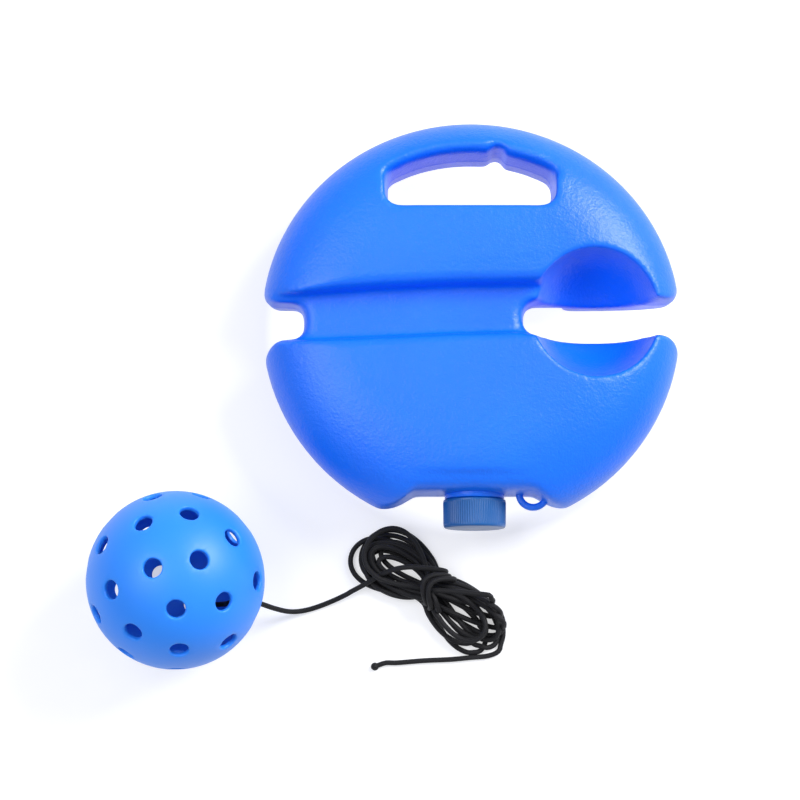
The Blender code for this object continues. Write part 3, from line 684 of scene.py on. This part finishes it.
def settled(route, free, pull):
    """The cord at rest: it sinks, keeps its length and its bends, and lies on itself and the floor."""
    points = route.copy()
    rest = np.linalg.norm(np.diff(route, axis=0), axis=1)
    for step in range(SETTLE_STEPS):
        if step % STEPS_PER_SEARCH == 0:
            pairs = near_pairs(points, SEARCH_REACH)
        fade = max(LEAST_FADE, 1 - step / SETTLE_STEPS)
        points[:, :2] += (free * pull * fade)[:, None] * (route - points)[:, :2]
        points[:, 2] += free * np.where(pull > LOOP_PULL, pull * (route - points)[:, 2], -SINK)
        for _ in range(2):
            for reach in BEND_REACHES:
                moved = points - route
                bend = (moved[:-2 * reach] + moved[2 * reach:]) / 2 - moved[reach:-reach]
                points[reach:-reach] += BEND * bend * free[reach:-reach, None]
            push_apart(points, pairs, free)
            points[:, 2] = np.maximum(points[:, 2], CORD_RADIUS)
            keep_length(points, rest, free)
            keep_length(points, rest, free)
    return points


def knot_centre():
    """The knot lies on the ball's inner wall, just clear of it as the ball turns."""
    x, y = KNOT_OFFSET
    reach = BALL_RADIUS - BALL_WALL - KNOT_CLEARANCE - KNOT_RADIUS
    return BALL_CENTRE + Vector((x, y, -math.sqrt(reach ** 2 - x ** 2 - y ** 2)))


def cord_path():
    """The whole cord in the order it runs: knot, ball, lead, wraps, loops and tail."""
    axis = cord_hole_axis()
    mouth = BALL_CENTRE + axis * BALL_RADIUS
    in_ball = [
        knot_centre() + Vector((KNOT_RADIUS - CORD_RADIUS, 0, 0)),
        *(BALL_CENTRE + Vector(place) for place in IN_BALL_ROUTE),
        mouth - axis * MOUTH_INSIDE + Vector((0, 0, MOUTH_RISE)),
        mouth,
        mouth + axis * MOUTH_OUTSIDE,
    ]
    over = hank_to_base(OVER_LOBE_ROUTE)
    wraps = hank_to_base(wrap_points())
    loops = hank_to_base(hank_points())[::-1]
    tail = np.array([(x, y, CORD_RADIUS) for x, y in TAIL_ROUTE])
    path = smooth_line(np.vstack(([tuple(p) for p in in_ball], LEAD_ROUTE, over, wraps, loops, tail)))
    path = resampled(path, CORD_STEP)
    path[:, 2] = np.maximum(path[:, 2], CORD_RADIUS)
    start = np.linalg.norm(path - np.array(LEAD_ROUTE[-1]), axis=1).argmin()
    end = np.linalg.norm(path - tail[0], axis=1).argmin()
    free = np.zeros(len(path))
    free[start:end] = 1
    dense_wraps = resampled(smooth_line(wraps), CORD_STEP)
    from_wraps = np.linalg.norm(path[:, None] - dense_wraps, axis=2).min(axis=1)
    return settled(path, free, np.where(from_wraps < CORD_RADIUS, WRAP_PULL, LOOP_PULL))


def cord_tube(name, path, radii):
    """A round tube along a path with a radius at each point, and a UV map along and around it."""
    ways = np.gradient(path, axis=0)
    ways /= np.linalg.norm(ways, axis=1)[:, None]
    side = np.array(Vector(ways[0]).orthogonal().normalized())
    corners = []
    angles = np.linspace(0, math.tau, CORD_SIDES, endpoint=False)[:, None]
    for place, way, radius in zip(path, ways, radii):
        side = side - way * (side @ way)
        side /= np.linalg.norm(side)
        corners.append(place + radius * (np.cos(angles) * side + np.sin(angles) * np.cross(way, side)))
    data = bpy.data.meshes.new(name)
    faces, places = [], []
    lengths = np.concatenate(([0], np.cumsum(np.linalg.norm(np.diff(path, axis=0), axis=1))))
    for ring in range(len(path) - 1):
        for corner in range(CORD_SIDES):
            after = (corner + 1) % CORD_SIDES
            low, high = ring * CORD_SIDES, (ring + 1) * CORD_SIDES
            faces.append((low + corner, low + after, high + after, high + corner))
            for along, around in ((0, 0), (0, 1), (1, 1), (1, 0)):
                places.extend((lengths[ring + along], (corner + around) / CORD_SIDES))
    last = (len(path) - 1) * CORD_SIDES
    faces.append(tuple(range(CORD_SIDES))[::-1])
    faces.append(tuple(range(last, last + CORD_SIDES)))
    places.extend([0] * 4 * CORD_SIDES)
    data.from_pydata(np.vstack(corners).tolist(), [], faces)
    data.uv_layers.new(name="Around").data.foreach_set("uv", places)
    return add_object(name, data)


def make_knot(material):
    """An overhand knot: a trefoil of the same cord, flat against the ball's wall."""
    angle = np.linspace(0, math.tau, KNOT_SAMPLES)
    scale = (KNOT_RADIUS - CORD_RADIUS) / 3
    path = scale * np.column_stack((
        np.sin(angle) + 2 * np.sin(2 * angle),
        np.cos(angle) - 2 * np.cos(2 * angle),
        -np.sin(3 * angle),
    ))
    knot = cord_tube("cord_knot", path, np.full(len(path), CORD_RADIUS))
    down = (knot_centre() - BALL_CENTRE).normalized()
    knot.rotation_euler = down.to_track_quat("Z", "Y").to_euler()
    knot.location = knot_centre()
    return finish(knot, material, "base", "ball_knot", sharp=CORD_SHARP)


def make_bead(material, end, way):
    """The melted bead that keeps the cord's tail from fraying."""
    shares = np.linspace(-1, 1, BEAD_SAMPLES)
    centre = end + way * BEAD_RADIUS * BEAD_REACH
    radii = BEAD_RADIUS * np.sqrt(np.maximum(1 - shares ** 2, BEAD_TIP_SHARE))
    bead = cord_tube("cord_bead_tip", centre + shares[:, None] * way * BEAD_RADIUS, radii)
    return finish(bead, material, "base", "cord_end_bead", sharp=CORD_SHARP)


def make_cord(material):
    path = resampled(smooth_line(cord_path()), TUBE_STEP)
    cord = cord_tube("cord_run", path, np.full(len(path), CORD_RADIUS))
    runs = ("cord_in_ball", "cord_lead", "cord_binding", "cord_hank", "cord_tail")
    finish(cord, material, "base", *runs, sharp=CORD_SHARP)
    knot = make_knot(material)
    way = (path[-1] - path[-3]) / np.linalg.norm(path[-1] - path[-3])
    bead = make_bead(material, path[-1], way)


# The base

def through_cutter(name, outline, grow, roll=(0, 0), way=None):
    """A cutter through the whole base that opens from the parting line to each face, by draft and roll."""
    radius, end = roll
    rises = [0]
    if radius:
        turns = [math.pi / 2 * step / ROLL_STEPS for step in range(ROLL_STEPS + 1)]
        rises += [end - radius + radius * math.sin(turn) for turn in turns]
    rises.append(MID + MARGIN)
    sections = []
    for rise in rises:
        section = widened(outline, rise * math.tan(DRAFT) - grow, rolled(rise, radius, end), way)
        sections += [(MID + rise, section), (MID - rise, section)] if rise else [(MID, section)]
    return prism(name, sorted(sections, key=lambda section: section[0]))


def disc(name, grow):
    """The base's plain blank: flat faces, rims that curve over, and a flatter half towards the handle."""
    radius = BASE_RADIUS + grow
    half = MID + TRIM + grow
    top = []
    for step in range(RIM_STEPS):
        at = FACE_RADIUS + (radius - FACE_RADIUS) * math.sin(math.pi / 2 * step / RIM_STEPS)
        share = (at - FACE_RADIUS) / (radius - FACE_RADIUS)
        top.append((at, half * math.sqrt(1 - share ** RIM_POWER)))
    profile = [(0, MID + half)] + [(r, MID + z) for r, z in top] + [(radius, MID)]
    profile += [(r, MID - z) for r, z in reversed(top)] + [(0, MID - half)]
    blank = lathe(name, profile, 2 * ROUND_STEPS)
    for vertex in blank.data.vertices:
        if vertex.co.y > 0:
            vertex.co.y *= (BASE_TOP + grow) / radius
    return blank


def grip_edge_y(x):
    """The handle hole's upper edge, an even grip's depth inside the base's own rim."""
    flatness = (BASE_TOP - GRIP_DEPTH) / (BASE_RADIUS - GRIP_DEPTH)
    return flatness * math.sqrt((BASE_RADIUS - GRIP_DEPTH) ** 2 - x * x)


def handle_outline():
    """The handle hole: flat below, curved above to keep the grip even."""
    corners = [
        (HANDLE_LEFT, HANDLE_FLOOR_Y, HANDLE_CORNER),
        (HANDLE_RIGHT, HANDLE_FLOOR_Y, HANDLE_CORNER),
        (HANDLE_RIGHT, grip_edge_y(HANDLE_RIGHT), HANDLE_CORNER),
    ]
    for step in range(GRIP_STEPS + 1):
        low, high = HANDLE_LEFT + 2 * HANDLE_CORNER, HANDLE_RIGHT - 2 * HANDLE_CORNER
        x = high + (low - high) * step / GRIP_STEPS
        corners.append((x, grip_edge_y(x), 0))
    corners.append((HANDLE_LEFT, grip_edge_y(HANDLE_LEFT), HANDLE_CORNER))
    return rounded_outline(corners)


def finger_notch_outline():
    centre = Vector((FINGER_NOTCH_X, grip_edge_y(FINGER_NOTCH_X)))
    turns = [math.tau * step / FINGER_NOTCH_STEPS for step in range(FINGER_NOTCH_STEPS)]
    return [centre + FINGER_NOTCH_RADIUS * Vector((math.cos(turn), math.sin(turn))) for turn in turns]


def waist_outline(side, end_x, low_y, high_y, corner, lips):
    """The slot or the notch: rounded inner corners, and a mouth whose lips round over into the rim."""
    upper, lower = [], []
    for lip, y, away, (length, height) in ((upper, high_y, 1, lips[0]), (lower, low_y, -1, lips[1])):
        rim = math.sqrt(BASE_RADIUS ** 2 - (abs(y) + height) ** 2)
        for step in range(MOUTH_STEPS + 1):
            turn = math.pi / 2 * step / MOUTH_STEPS
            x = rim - length * (1 - math.sin(turn))
            lip.append((side * x, y + away * height * (1 - math.cos(turn)), 0))
    far = side * (BASE_RADIUS + MARGIN)
    corners = [
        (end_x, high_y, corner),
        (end_x, low_y, corner),
        *lower,
        (far, lower[-1][1], 0),
        (far, upper[-1][1], 0),
        *reversed(upper),
    ]
    return rounded_outline(corners if side > 0 else corners[::-1])


def waist_end(side, end_x, low_y, high_y, corner):
    """The slot's or the notch's inner end alone, where the groove's floor rounds over into it."""
    open_x = end_x + side * WAIST_END_LENGTH
    corners = [(end_x, high_y, corner), (end_x, low_y, corner), (open_x, low_y, 0), (open_x, high_y, 0)]
    return rounded_outline(corners if side > 0 else corners[::-1])


def groove_outline():
    """The groove's floor, which runs out past the rim on the left and into the seat on the right."""
    left = -BASE_RADIUS - MARGIN
    right = SEAT_X - SEAT_RADIUS / 2
    high = [*GROOVE_HIGH_EDGE, (left, GROOVE_HIGH_EDGE[-1][1])]
    low = [(left, GROOVE_LOW_EDGE[0][1]), *GROOVE_LOW_EDGE]
    ends = [(right, GROOVE_LOW_EDGE[-1][1]), (right, GROOVE_HIGH_EDGE[0][1])]
    return [Vector(corner) for corner in high + low + ends]


def recess_outline():
    """The recess's flat floor and the round feet on both sides of it, open towards -Y."""
    below = -BASE_RADIUS - MARGIN
    right = [(RECESS_RIGHT + x, -RECESS_DEPTH_Y - y) for x, y in FOOT_PROFILE]
    left = [(RECESS_LEFT - x, -RECESS_DEPTH_Y - y) for x, y in FOOT_PROFILE]
    corners = [(left[-1][0], below), (right[-1][0], below), *reversed(right)]
    corners += [(RECESS_RIGHT, -RECESS_DEPTH_Y), (RECESS_LEFT, -RECESS_DEPTH_Y), *left]
    return [Vector(corner) for corner in corners]


def face_cutters(grow):
    """The groove on each face, whose walls round over into it, and the ball's seat on the front one."""
    outline = groove_outline()
    turns = [math.pi / 2 * step / ROLL_STEPS for step in range(ROLL_STEPS + 1)]
    rounds = [GROOVE_DEPTH - GROOVE_ROLL + GROOVE_ROLL * math.sin(turn) for turn in turns]
    rises = [0, *rounds, GROOVE_DEPTH + MARGIN]
    cutters = []
    for side, face_name in ((1, "front"), (-1, "back")):
        floor = MID + side * (MID - GROOVE_DEPTH + grow)
        sections = []
        for rise in rises:
            spread = rise * math.tan(GROOVE_DRAFT) + rolled(rise, GROOVE_ROLL, GROOVE_DEPTH) - grow
            sections.append((floor + side * rise, widened(outline, spread)))
        cutters.append(prism(f"{face_name} groove", sections[::side]))
    mesh = bmesh.new()
    bmesh.ops.create_icosphere(mesh, subdivisions=SEAT_SUBDIVISIONS, radius=1)
    seat = from_bmesh("seat", mesh)
    for vertex in seat.data.vertices:
        vertex.co.x = SEAT_X + (SEAT_RADIUS - grow) * vertex.co.x
        vertex.co.y = SEAT_Y + (SEAT_RADIUS - grow) * vertex.co.y
        vertex.co.z = BASE_THICKNESS + (SEAT_DEPTH - grow) * vertex.co.z
    return [*cutters, seat]


def moulded_form(name, grow, voxel):
    """The base's outer skin, or with a negative growth the space inside its walls."""
    blank = disc(name, grow)
    up, left, right = Vector((0, 1)), Vector((-1, 0)), Vector((1, 0))
    slot = (1, SLOT_END_X, SLOT_LOW_Y, SLOT_HIGH_Y, SLOT_CORNER)
    notch = (-1, NOTCH_END_X, NOTCH_LOW_Y, NOTCH_HIGH_Y, NOTCH_CORNER)
    cutters = [
        through_cutter("handle", handle_outline(), grow, GRIP_ROLL, up),
        through_cutter("finger notch", finger_notch_outline(), grow, GRIP_ROLL, up),
        through_cutter("slot", waist_outline(*slot, SLOT_LIPS), grow),
        through_cutter("slot end", waist_end(*slot), grow, WAIST_END_ROLL, left),
        through_cutter("notch", waist_outline(*notch, NOTCH_LIPS), grow),
        through_cutter("notch end", waist_end(*notch), grow, WAIST_END_ROLL, right),
        through_cutter("recess", recess_outline(), grow, RECESS_ROLL),
    ]
    combine(blank, cutters + face_cutters(grow), "DIFFERENCE")
    remesh = blank.modifiers.new("Even skin", "REMESH")
    remesh.mode = "VOXEL"
    remesh.voxel_size = voxel
    smooth = blank.modifiers.new("Rounded edges", "SMOOTH")
    smooth.factor = 0.5
    smooth.iterations = round(SMOOTH_PASSES * (VOXEL / voxel) ** 2)
    return apply_modifiers(blank)


def raise_seam(item):
    """The parting line: a low bead round the middle plane of every upright wall."""
    data = item.data
    places = np.empty(len(data.vertices) * 3, np.float32)
    data.vertices.foreach_get("co", places)
    places = places.reshape(-1, 3)
    normals = np.array([tuple(vertex.normal) for vertex in data.vertices], np.float32)
    upright = np.clip(1 - 3 * np.abs(normals[:, 2]), 0, 1)
    bead = SEAM_HEIGHT * upright * np.exp(-(((places[:, 2] - MID) / SEAM_WIDTH) ** 2))
    data.vertices.foreach_set("co", (places + normals * bead[:, None]).ravel())
    data.update()


def on_neck(item):
    """Puts a piece that was made about Z on the neck's axis, which runs out towards -Y from the recess."""
    item.location = (NECK_X, -RECESS_DEPTH_Y, MID)
    item.rotation_euler = (math.pi / 2, 0, 0)
    return item


def thread(name, root_radius, crest_radius, start, turns):
    """A right-handed thread ridge that fades in and out, rooted slightly inside its wall."""
    steps = round(turns * THREAD_STEPS)
    rings = []
    for step in range(steps + 1):
        angle = math.tau * turns * step / steps
        height = start + THREAD_PITCH * turns * step / steps
        share = min(1, step / THREAD_FADE, (steps - step) / THREAD_FADE)
        crest = root_radius + (crest_radius - root_radius) * max(share, THREAD_END_SHARE)
        section = (
            (root_radius, -THREAD_ROOT / 2),
            (crest, -THREAD_CREST / 2),
            (crest, THREAD_CREST / 2),
            (root_radius, THREAD_ROOT / 2),
        )
        rings.append([
            (radius * math.cos(angle), radius * math.sin(angle), height + rise) for radius, rise in section
        ])
    return through_rings(name, rings)


def make_neck():
    """The filler neck with its collar and its thread; its bore is cut later, through the wall."""
    inside = -2 * WALL
    collar = CAP_STANDOFF - CLEARANCE
    bevel = collar / 4
    neck = lathe("neck", (
        (0, inside),
        (NECK_RADIUS, inside),
        (NECK_RADIUS, -WALL / 2),
        (COLLAR_RADIUS, -WALL / 2),
        (COLLAR_RADIUS, collar - bevel),
        (COLLAR_RADIUS - bevel, collar),
        (NECK_RADIUS, collar),
        (NECK_RADIUS, NECK_LENGTH),
        (0, NECK_LENGTH),
    ))
    root, crest = NECK_RADIUS - CLEARANCE, NECK_RADIUS + THREAD_DEPTH
    ridge = thread("neck thread", root, crest, NECK_THREAD_START, NECK_THREAD_TURNS)
    return on_neck(combine(neck, [ridge], "UNION"))


def make_eyelet():
    """A flat ring on the parting line with rounded edges."""
    half = EYELET_THICKNESS / 2
    edge = half * EYELET_ROUND
    profile = []
    for radius, height, start in (
        (EYELET_RADIUS - edge, half - edge, 0),
        (EYELET_HOLE + edge, half - edge, 1),
        (EYELET_HOLE + edge, edge - half, 2),
        (EYELET_RADIUS - edge, edge - half, 3),
    ):
        for step in range(EYELET_STEPS + 1):
            angle = math.pi / 2 * (start + step / EYELET_STEPS)
            profile.append((radius + edge * math.cos(angle), height + edge * math.sin(angle)))
    ring = lathe("eyelet", profile)
    ring.location = (EYELET_X, EYELET_RISE - RECESS_DEPTH_Y, MID)
    return ring


def make_base(material):
    """The hollow tank: outer skin, parting line, neck and eyelet, then the space inside and the bore."""
    tank = moulded_form("base", 0, VOXEL)
    raise_seam(tank)
    room = BASE_RADIUS + MARGIN
    corners = [Vector((-room, -room)), Vector((room, -room)), Vector((room, room)), Vector((-room, room))]
    combine(tank, [prism("faces", ((0, corners), (BASE_THICKNESS, corners)))], "INTERSECT")
    cavity = moulded_form("cavity", -WALL, CAVITY_VOXEL)
    combine(tank, [make_neck(), make_eyelet()], "UNION")
    depth = 4 * WALL
    reach = NECK_LENGTH + MARGIN
    bore = on_neck(lathe("bore", ((0, -depth), (NECK_BORE, -depth), (NECK_BORE, reach), (0, reach))))
    combine(tank, [cavity, bore], "DIFFERENCE")
    return finish(tank, material, "base", "base_tank", sharp=50)


# The cap

def make_cap(material):
    """A screw cap whose fine ribs are round and fade into its top edge."""
    open_end = CAP_STANDOFF
    closed_end = CAP_STANDOFF + CAP_HEIGHT
    levels = [
        (open_end, CAP_LIP_INSET, 0),
        (open_end + CAP_LIP_ROUND, CAP_TAPER, 0),
        (open_end + CAP_LIP, CAP_TAPER, 0),
        (open_end + CAP_LIP + RIB_FADE, 0, RIB_DEPTH),
        (closed_end - 2 * CAP_EDGE, CAP_TAPER, RIB_DEPTH),
        (closed_end - CAP_EDGE, 2 * CAP_TAPER, 0),
    ]
    for step in range(1, CAP_EDGE_STEPS + 1):
        turn = math.pi / 2 * step / CAP_EDGE_STEPS
        height = closed_end - CAP_EDGE * (1 - math.sin(turn))
        levels.append((height, 2 * CAP_TAPER + CAP_EDGE * (1 - math.cos(turn)), 0))
    angles = [math.tau * step / (RIB_SAMPLES * CAP_RIBS) for step in range(RIB_SAMPLES * CAP_RIBS)]
    rings = []
    for height, inset, ribs in levels:
        ring = []
        for angle in angles:
            wave = 0.5 - 0.5 * math.cos(angle * CAP_RIBS)
            radius = CAP_RADIUS - inset - ribs * wave
            ring.append((radius * math.cos(angle), radius * math.sin(angle), height))
        rings.append(ring)
    cap = through_rings("cap", rings)
    floor = closed_end - CAP_WALL
    hollow = lathe("cap hollow", ((0, 0), (CAP_BORE, 0), (CAP_BORE, floor), (0, floor)))
    combine(cap, [hollow], "DIFFERENCE")
    start = NECK_THREAD_START - THREAD_PITCH * (0.5 - CAP_THREAD_TURNED)
    ridge = thread("cap thread", CAP_BORE + CLEARANCE, CAP_BORE - THREAD_DEPTH, start, CAP_THREAD_TURNS)
    ridge.rotation_euler = (0, 0, math.tau * CAP_THREAD_TURNED)
    combine(cap, [ridge], "UNION")
    return finish(on_neck(cap), material, "cap", "filler_cap", sharp=35)


# The ball

def hole_axes():
    """Unit vectors from the ball's centre through its 40 holes."""
    turn = (
        Matrix.Rotation(math.radians(BALL_TURN[2]), 3, "Z")
        @ Matrix.Rotation(math.radians(BALL_TURN[1]), 3, "Y")
        @ Matrix.Rotation(math.radians(BALL_TURN[0]), 3, "X")
    )
    axes = []
    for latitude, count, offset in HOLE_RINGS:
        rise = math.radians(latitude)
        flat, height = math.cos(rise), math.sin(rise)
        for half, extra in ((1, 0), (-1, LOWER_HALF_TURN)):
            for index in range(count):
                around = math.radians(offset + extra + 360 * index / count)
                axis = Vector((flat * math.cos(around), flat * math.sin(around), half * height))
                axes.append(turn @ axis)
    return axes


def cord_hole_axis():
    """The way from the ball's centre through the hole that its cord leaves by."""
    return max(hole_axes(), key=lambda axis: axis.dot(Vector(CORD_HOLE_WAY)))


def even_directions(count):
    """Directions spread evenly over the sphere on a golden spiral."""
    golden = math.pi * (3 - math.sqrt(5))
    directions = []
    for index in range(count):
        angle = golden * index
        height = 1 - 2 * (index + 0.5) / count
        flat = math.sqrt(1 - height * height)
        directions.append(Vector((flat * math.cos(angle), flat * math.sin(angle), height)))
    return directions


def make_ball(material):
    """Two spherical skins joined round each hole, whose outer edges are slightly rounded."""
    axes = hole_axes()
    directions = []
    drops = []
    owner = []
    for hole, axis in enumerate(axes):
        side = axis.orthogonal().normalized()
        up = axis.cross(side)
        for away, drop in HOLE_EDGE:
            tilt = math.asin((HOLE_RADIUS + away) / BALL_RADIUS)
            for index in range(HOLE_STEPS):
                angle = math.tau * index / HOLE_STEPS
                rim = side * math.cos(angle) + up * math.sin(angle)
                directions.append(axis * math.cos(tilt) + rim * math.sin(tilt))
                drops.append(drop)
                owner.append(hole if away == 0 else -1)
    edge = math.cos(math.asin((HOLE_RADIUS + HOLE_BORDER) / BALL_RADIUS))
    for filler in even_directions(BALL_POINTS):
        if max(filler.dot(axis) for axis in axes) < edge:
            directions.append(filler)
            drops.append(0.0)
            owner.append(-1)
    hull = bmesh.new()
    for place in directions:
        hull.verts.new(place)
    hull.verts.index_update()
    bmesh.ops.convex_hull(hull, input=hull.verts, use_existing_faces=False)
    bmesh.ops.triangulate(hull, faces=hull.faces)
    triangles = [[vertex.index for vertex in face.verts] for face in hull.faces]
    hull.free()
    mesh = bmesh.new()
    skins = []
    for radius, sink in ((BALL_RADIUS, 1), (BALL_RADIUS - BALL_WALL, -0.5)):
        corners = [mesh.verts.new(way * (radius - sink * drop)) for way, drop in zip(directions, drops)]
        for triangle in triangles:
            owners = {owner[index] for index in triangle}
            if owners == {-1} or len(owners) > 1:
                mesh.faces.new([corners[index] for index in triangle])
        skins.append(corners)
    outer, inner = skins
    for hole in range(len(axes)):
        first = hole * HOLE_STEPS * len(HOLE_EDGE)
        for index in range(HOLE_STEPS):
            here, after = first + index, first + (index + 1) % HOLE_STEPS
            mesh.faces.new((outer[here], outer[after], inner[after], inner[here]))
    ball = from_bmesh("ball_shell", mesh)
    ball.location = BALL_CENTRE
    return finish(ball, material, "ball", "ball", sharp=60)


# Camera, floor and lights

def make_camera():
    """The photograph's camera: nearly straight down, from a little in front."""
    data = bpy.data.cameras.new("photo camera")
    data.sensor_width = SENSOR_MM
    data.lens = CAMERA_FOCAL_PX * SENSOR_MM / IMAGE_PX
    data.clip_start = CAMERA_CLIP
    camera = add_object("photo camera", data)
    camera.location = CAMERA_PLACE + ORIGIN
    camera.rotation_euler = (CAMERA_TILT, 0, 0)
    bpy.context.scene.camera = camera


def add_area(name, place, size, power):
    """A square soft lamp that points at the middle of the floor."""
    data = bpy.data.lights.new(name, "AREA")
    data.shape = "SQUARE"
    data.size = size
    data.energy = power
    lamp = add_object(name, data)
    lamp.location = place
    lamp.rotation_euler = (-Vector(place)).to_track_quat("-Z", "Y").to_euler()


def seen_directly(nodes):
    """A socket that is 1 for rays from the camera, a mirror or glass, and 0 for light that bounces."""
    path = nodes.add("ShaderNodeLightPath")
    seen = path.outputs["Is Camera Ray"]
    for name in ("Is Glossy Ray", "Is Transmission Ray"):
        seen = nodes.maths("MAXIMUM", seen, path.outputs[name])
    return seen


def make_floor():
    """A pale floor that shows white and keeps its shadows: part of its white is its own glow, which is
    painted brighter under the base as a pool of light that lifts the shade seen through the base's holes.
    """
    mesh = bmesh.new()
    bmesh.ops.create_grid(mesh, x_segments=1, y_segments=1, size=FLOOR_SIZE)
    floor = from_bmesh("floor", mesh)
    nodes = Nodes("pale floor")
    direct = seen_directly(nodes)
    mix = nodes.add("ShaderNodeMix", data_type="RGBA")
    mix.inputs["A"].default_value = FLOOR_COLOUR
    mix.inputs["B"].default_value = FLOOR_SEEN_COLOUR
    nodes.join(direct, mix.inputs["Factor"])
    nodes.join(mix.outputs["Result"], nodes.shader.inputs["Base Color"])
    nodes.shade(Roughness=0.9, Specular_IOR_Level=0.1, Emission_Color=(1, 1, 1, 1))
    # Under the base the floor glows brighter: a painted pool of light that lifts the shade seen through
    # the base's holes
    from_base = nodes.add("ShaderNodeVectorMath", operation="DISTANCE")
    from_base.inputs[1].default_value = ORIGIN
    nodes.join(nodes.place(), from_base.inputs[0])
    painted_glow_end = PAINTED_GLOW_RADIUS + PAINTED_GLOW_EDGE
    glow = nodes.range(from_base.outputs["Value"], UNDER_BASE_PAINTED_GLOW, FLOOR_GLOW, PAINTED_GLOW_RADIUS, painted_glow_end)
    nodes.join(nodes.maths("MULTIPLY", glow, direct), nodes.shader.inputs["Emission Strength"])
    floor.data.materials.append(nodes.material)


def make_world():
    """An even studio that looks white and lights the object a little more softly than it looks."""
    world = bpy.data.worlds.new("studio")
    bpy.context.scene.world = world
    world.use_nodes = True
    tree = world.node_tree
    background = tree.nodes["Background"]
    mix = tree.nodes.new("ShaderNodeMix")
    mix.data_type = "RGBA"
    mix.inputs["A"].default_value = WORLD_COLOUR
    mix.inputs["B"].default_value = (1, 1, 1, 1)
    path = tree.nodes.new("ShaderNodeLightPath")
    tree.links.new(path.outputs["Is Camera Ray"], mix.inputs["Factor"])
    tree.links.new(mix.outputs["Result"], background.inputs["Color"])


def make_lights():
    add_area("key", KEY_PLACE, KEY_SIZE, KEY_POWER)
    add_area("fill", FILL_PLACE, FILL_SIZE, FILL_POWER)


# The whole scene

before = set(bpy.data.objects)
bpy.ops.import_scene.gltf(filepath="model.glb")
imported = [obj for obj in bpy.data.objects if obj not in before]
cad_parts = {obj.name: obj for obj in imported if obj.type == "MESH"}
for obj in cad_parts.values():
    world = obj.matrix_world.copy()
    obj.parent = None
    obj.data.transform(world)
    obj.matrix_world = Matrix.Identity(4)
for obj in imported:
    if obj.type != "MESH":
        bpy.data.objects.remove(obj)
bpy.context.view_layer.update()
bpy.context.scene.view_settings.view_transform = "Standard"
make_camera()
make_cord(braided_cord("cord braid"))

tank_plastic = moulded_plastic("tank blue", **TANK_PLASTIC)
cap_plastic = moulded_plastic("cap blue", **CAP_PLASTIC)
ball_plastic = moulded_plastic("ball blue", **BALL_PLASTIC)
make_base(tank_plastic)
make_cap(cap_plastic)
make_ball(ball_plastic)
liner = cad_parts["cap_liner"]
liner.data.materials.clear()
liner.data.materials.append(liner_foam("liner foam"))

make_floor()
make_world()
make_lights()
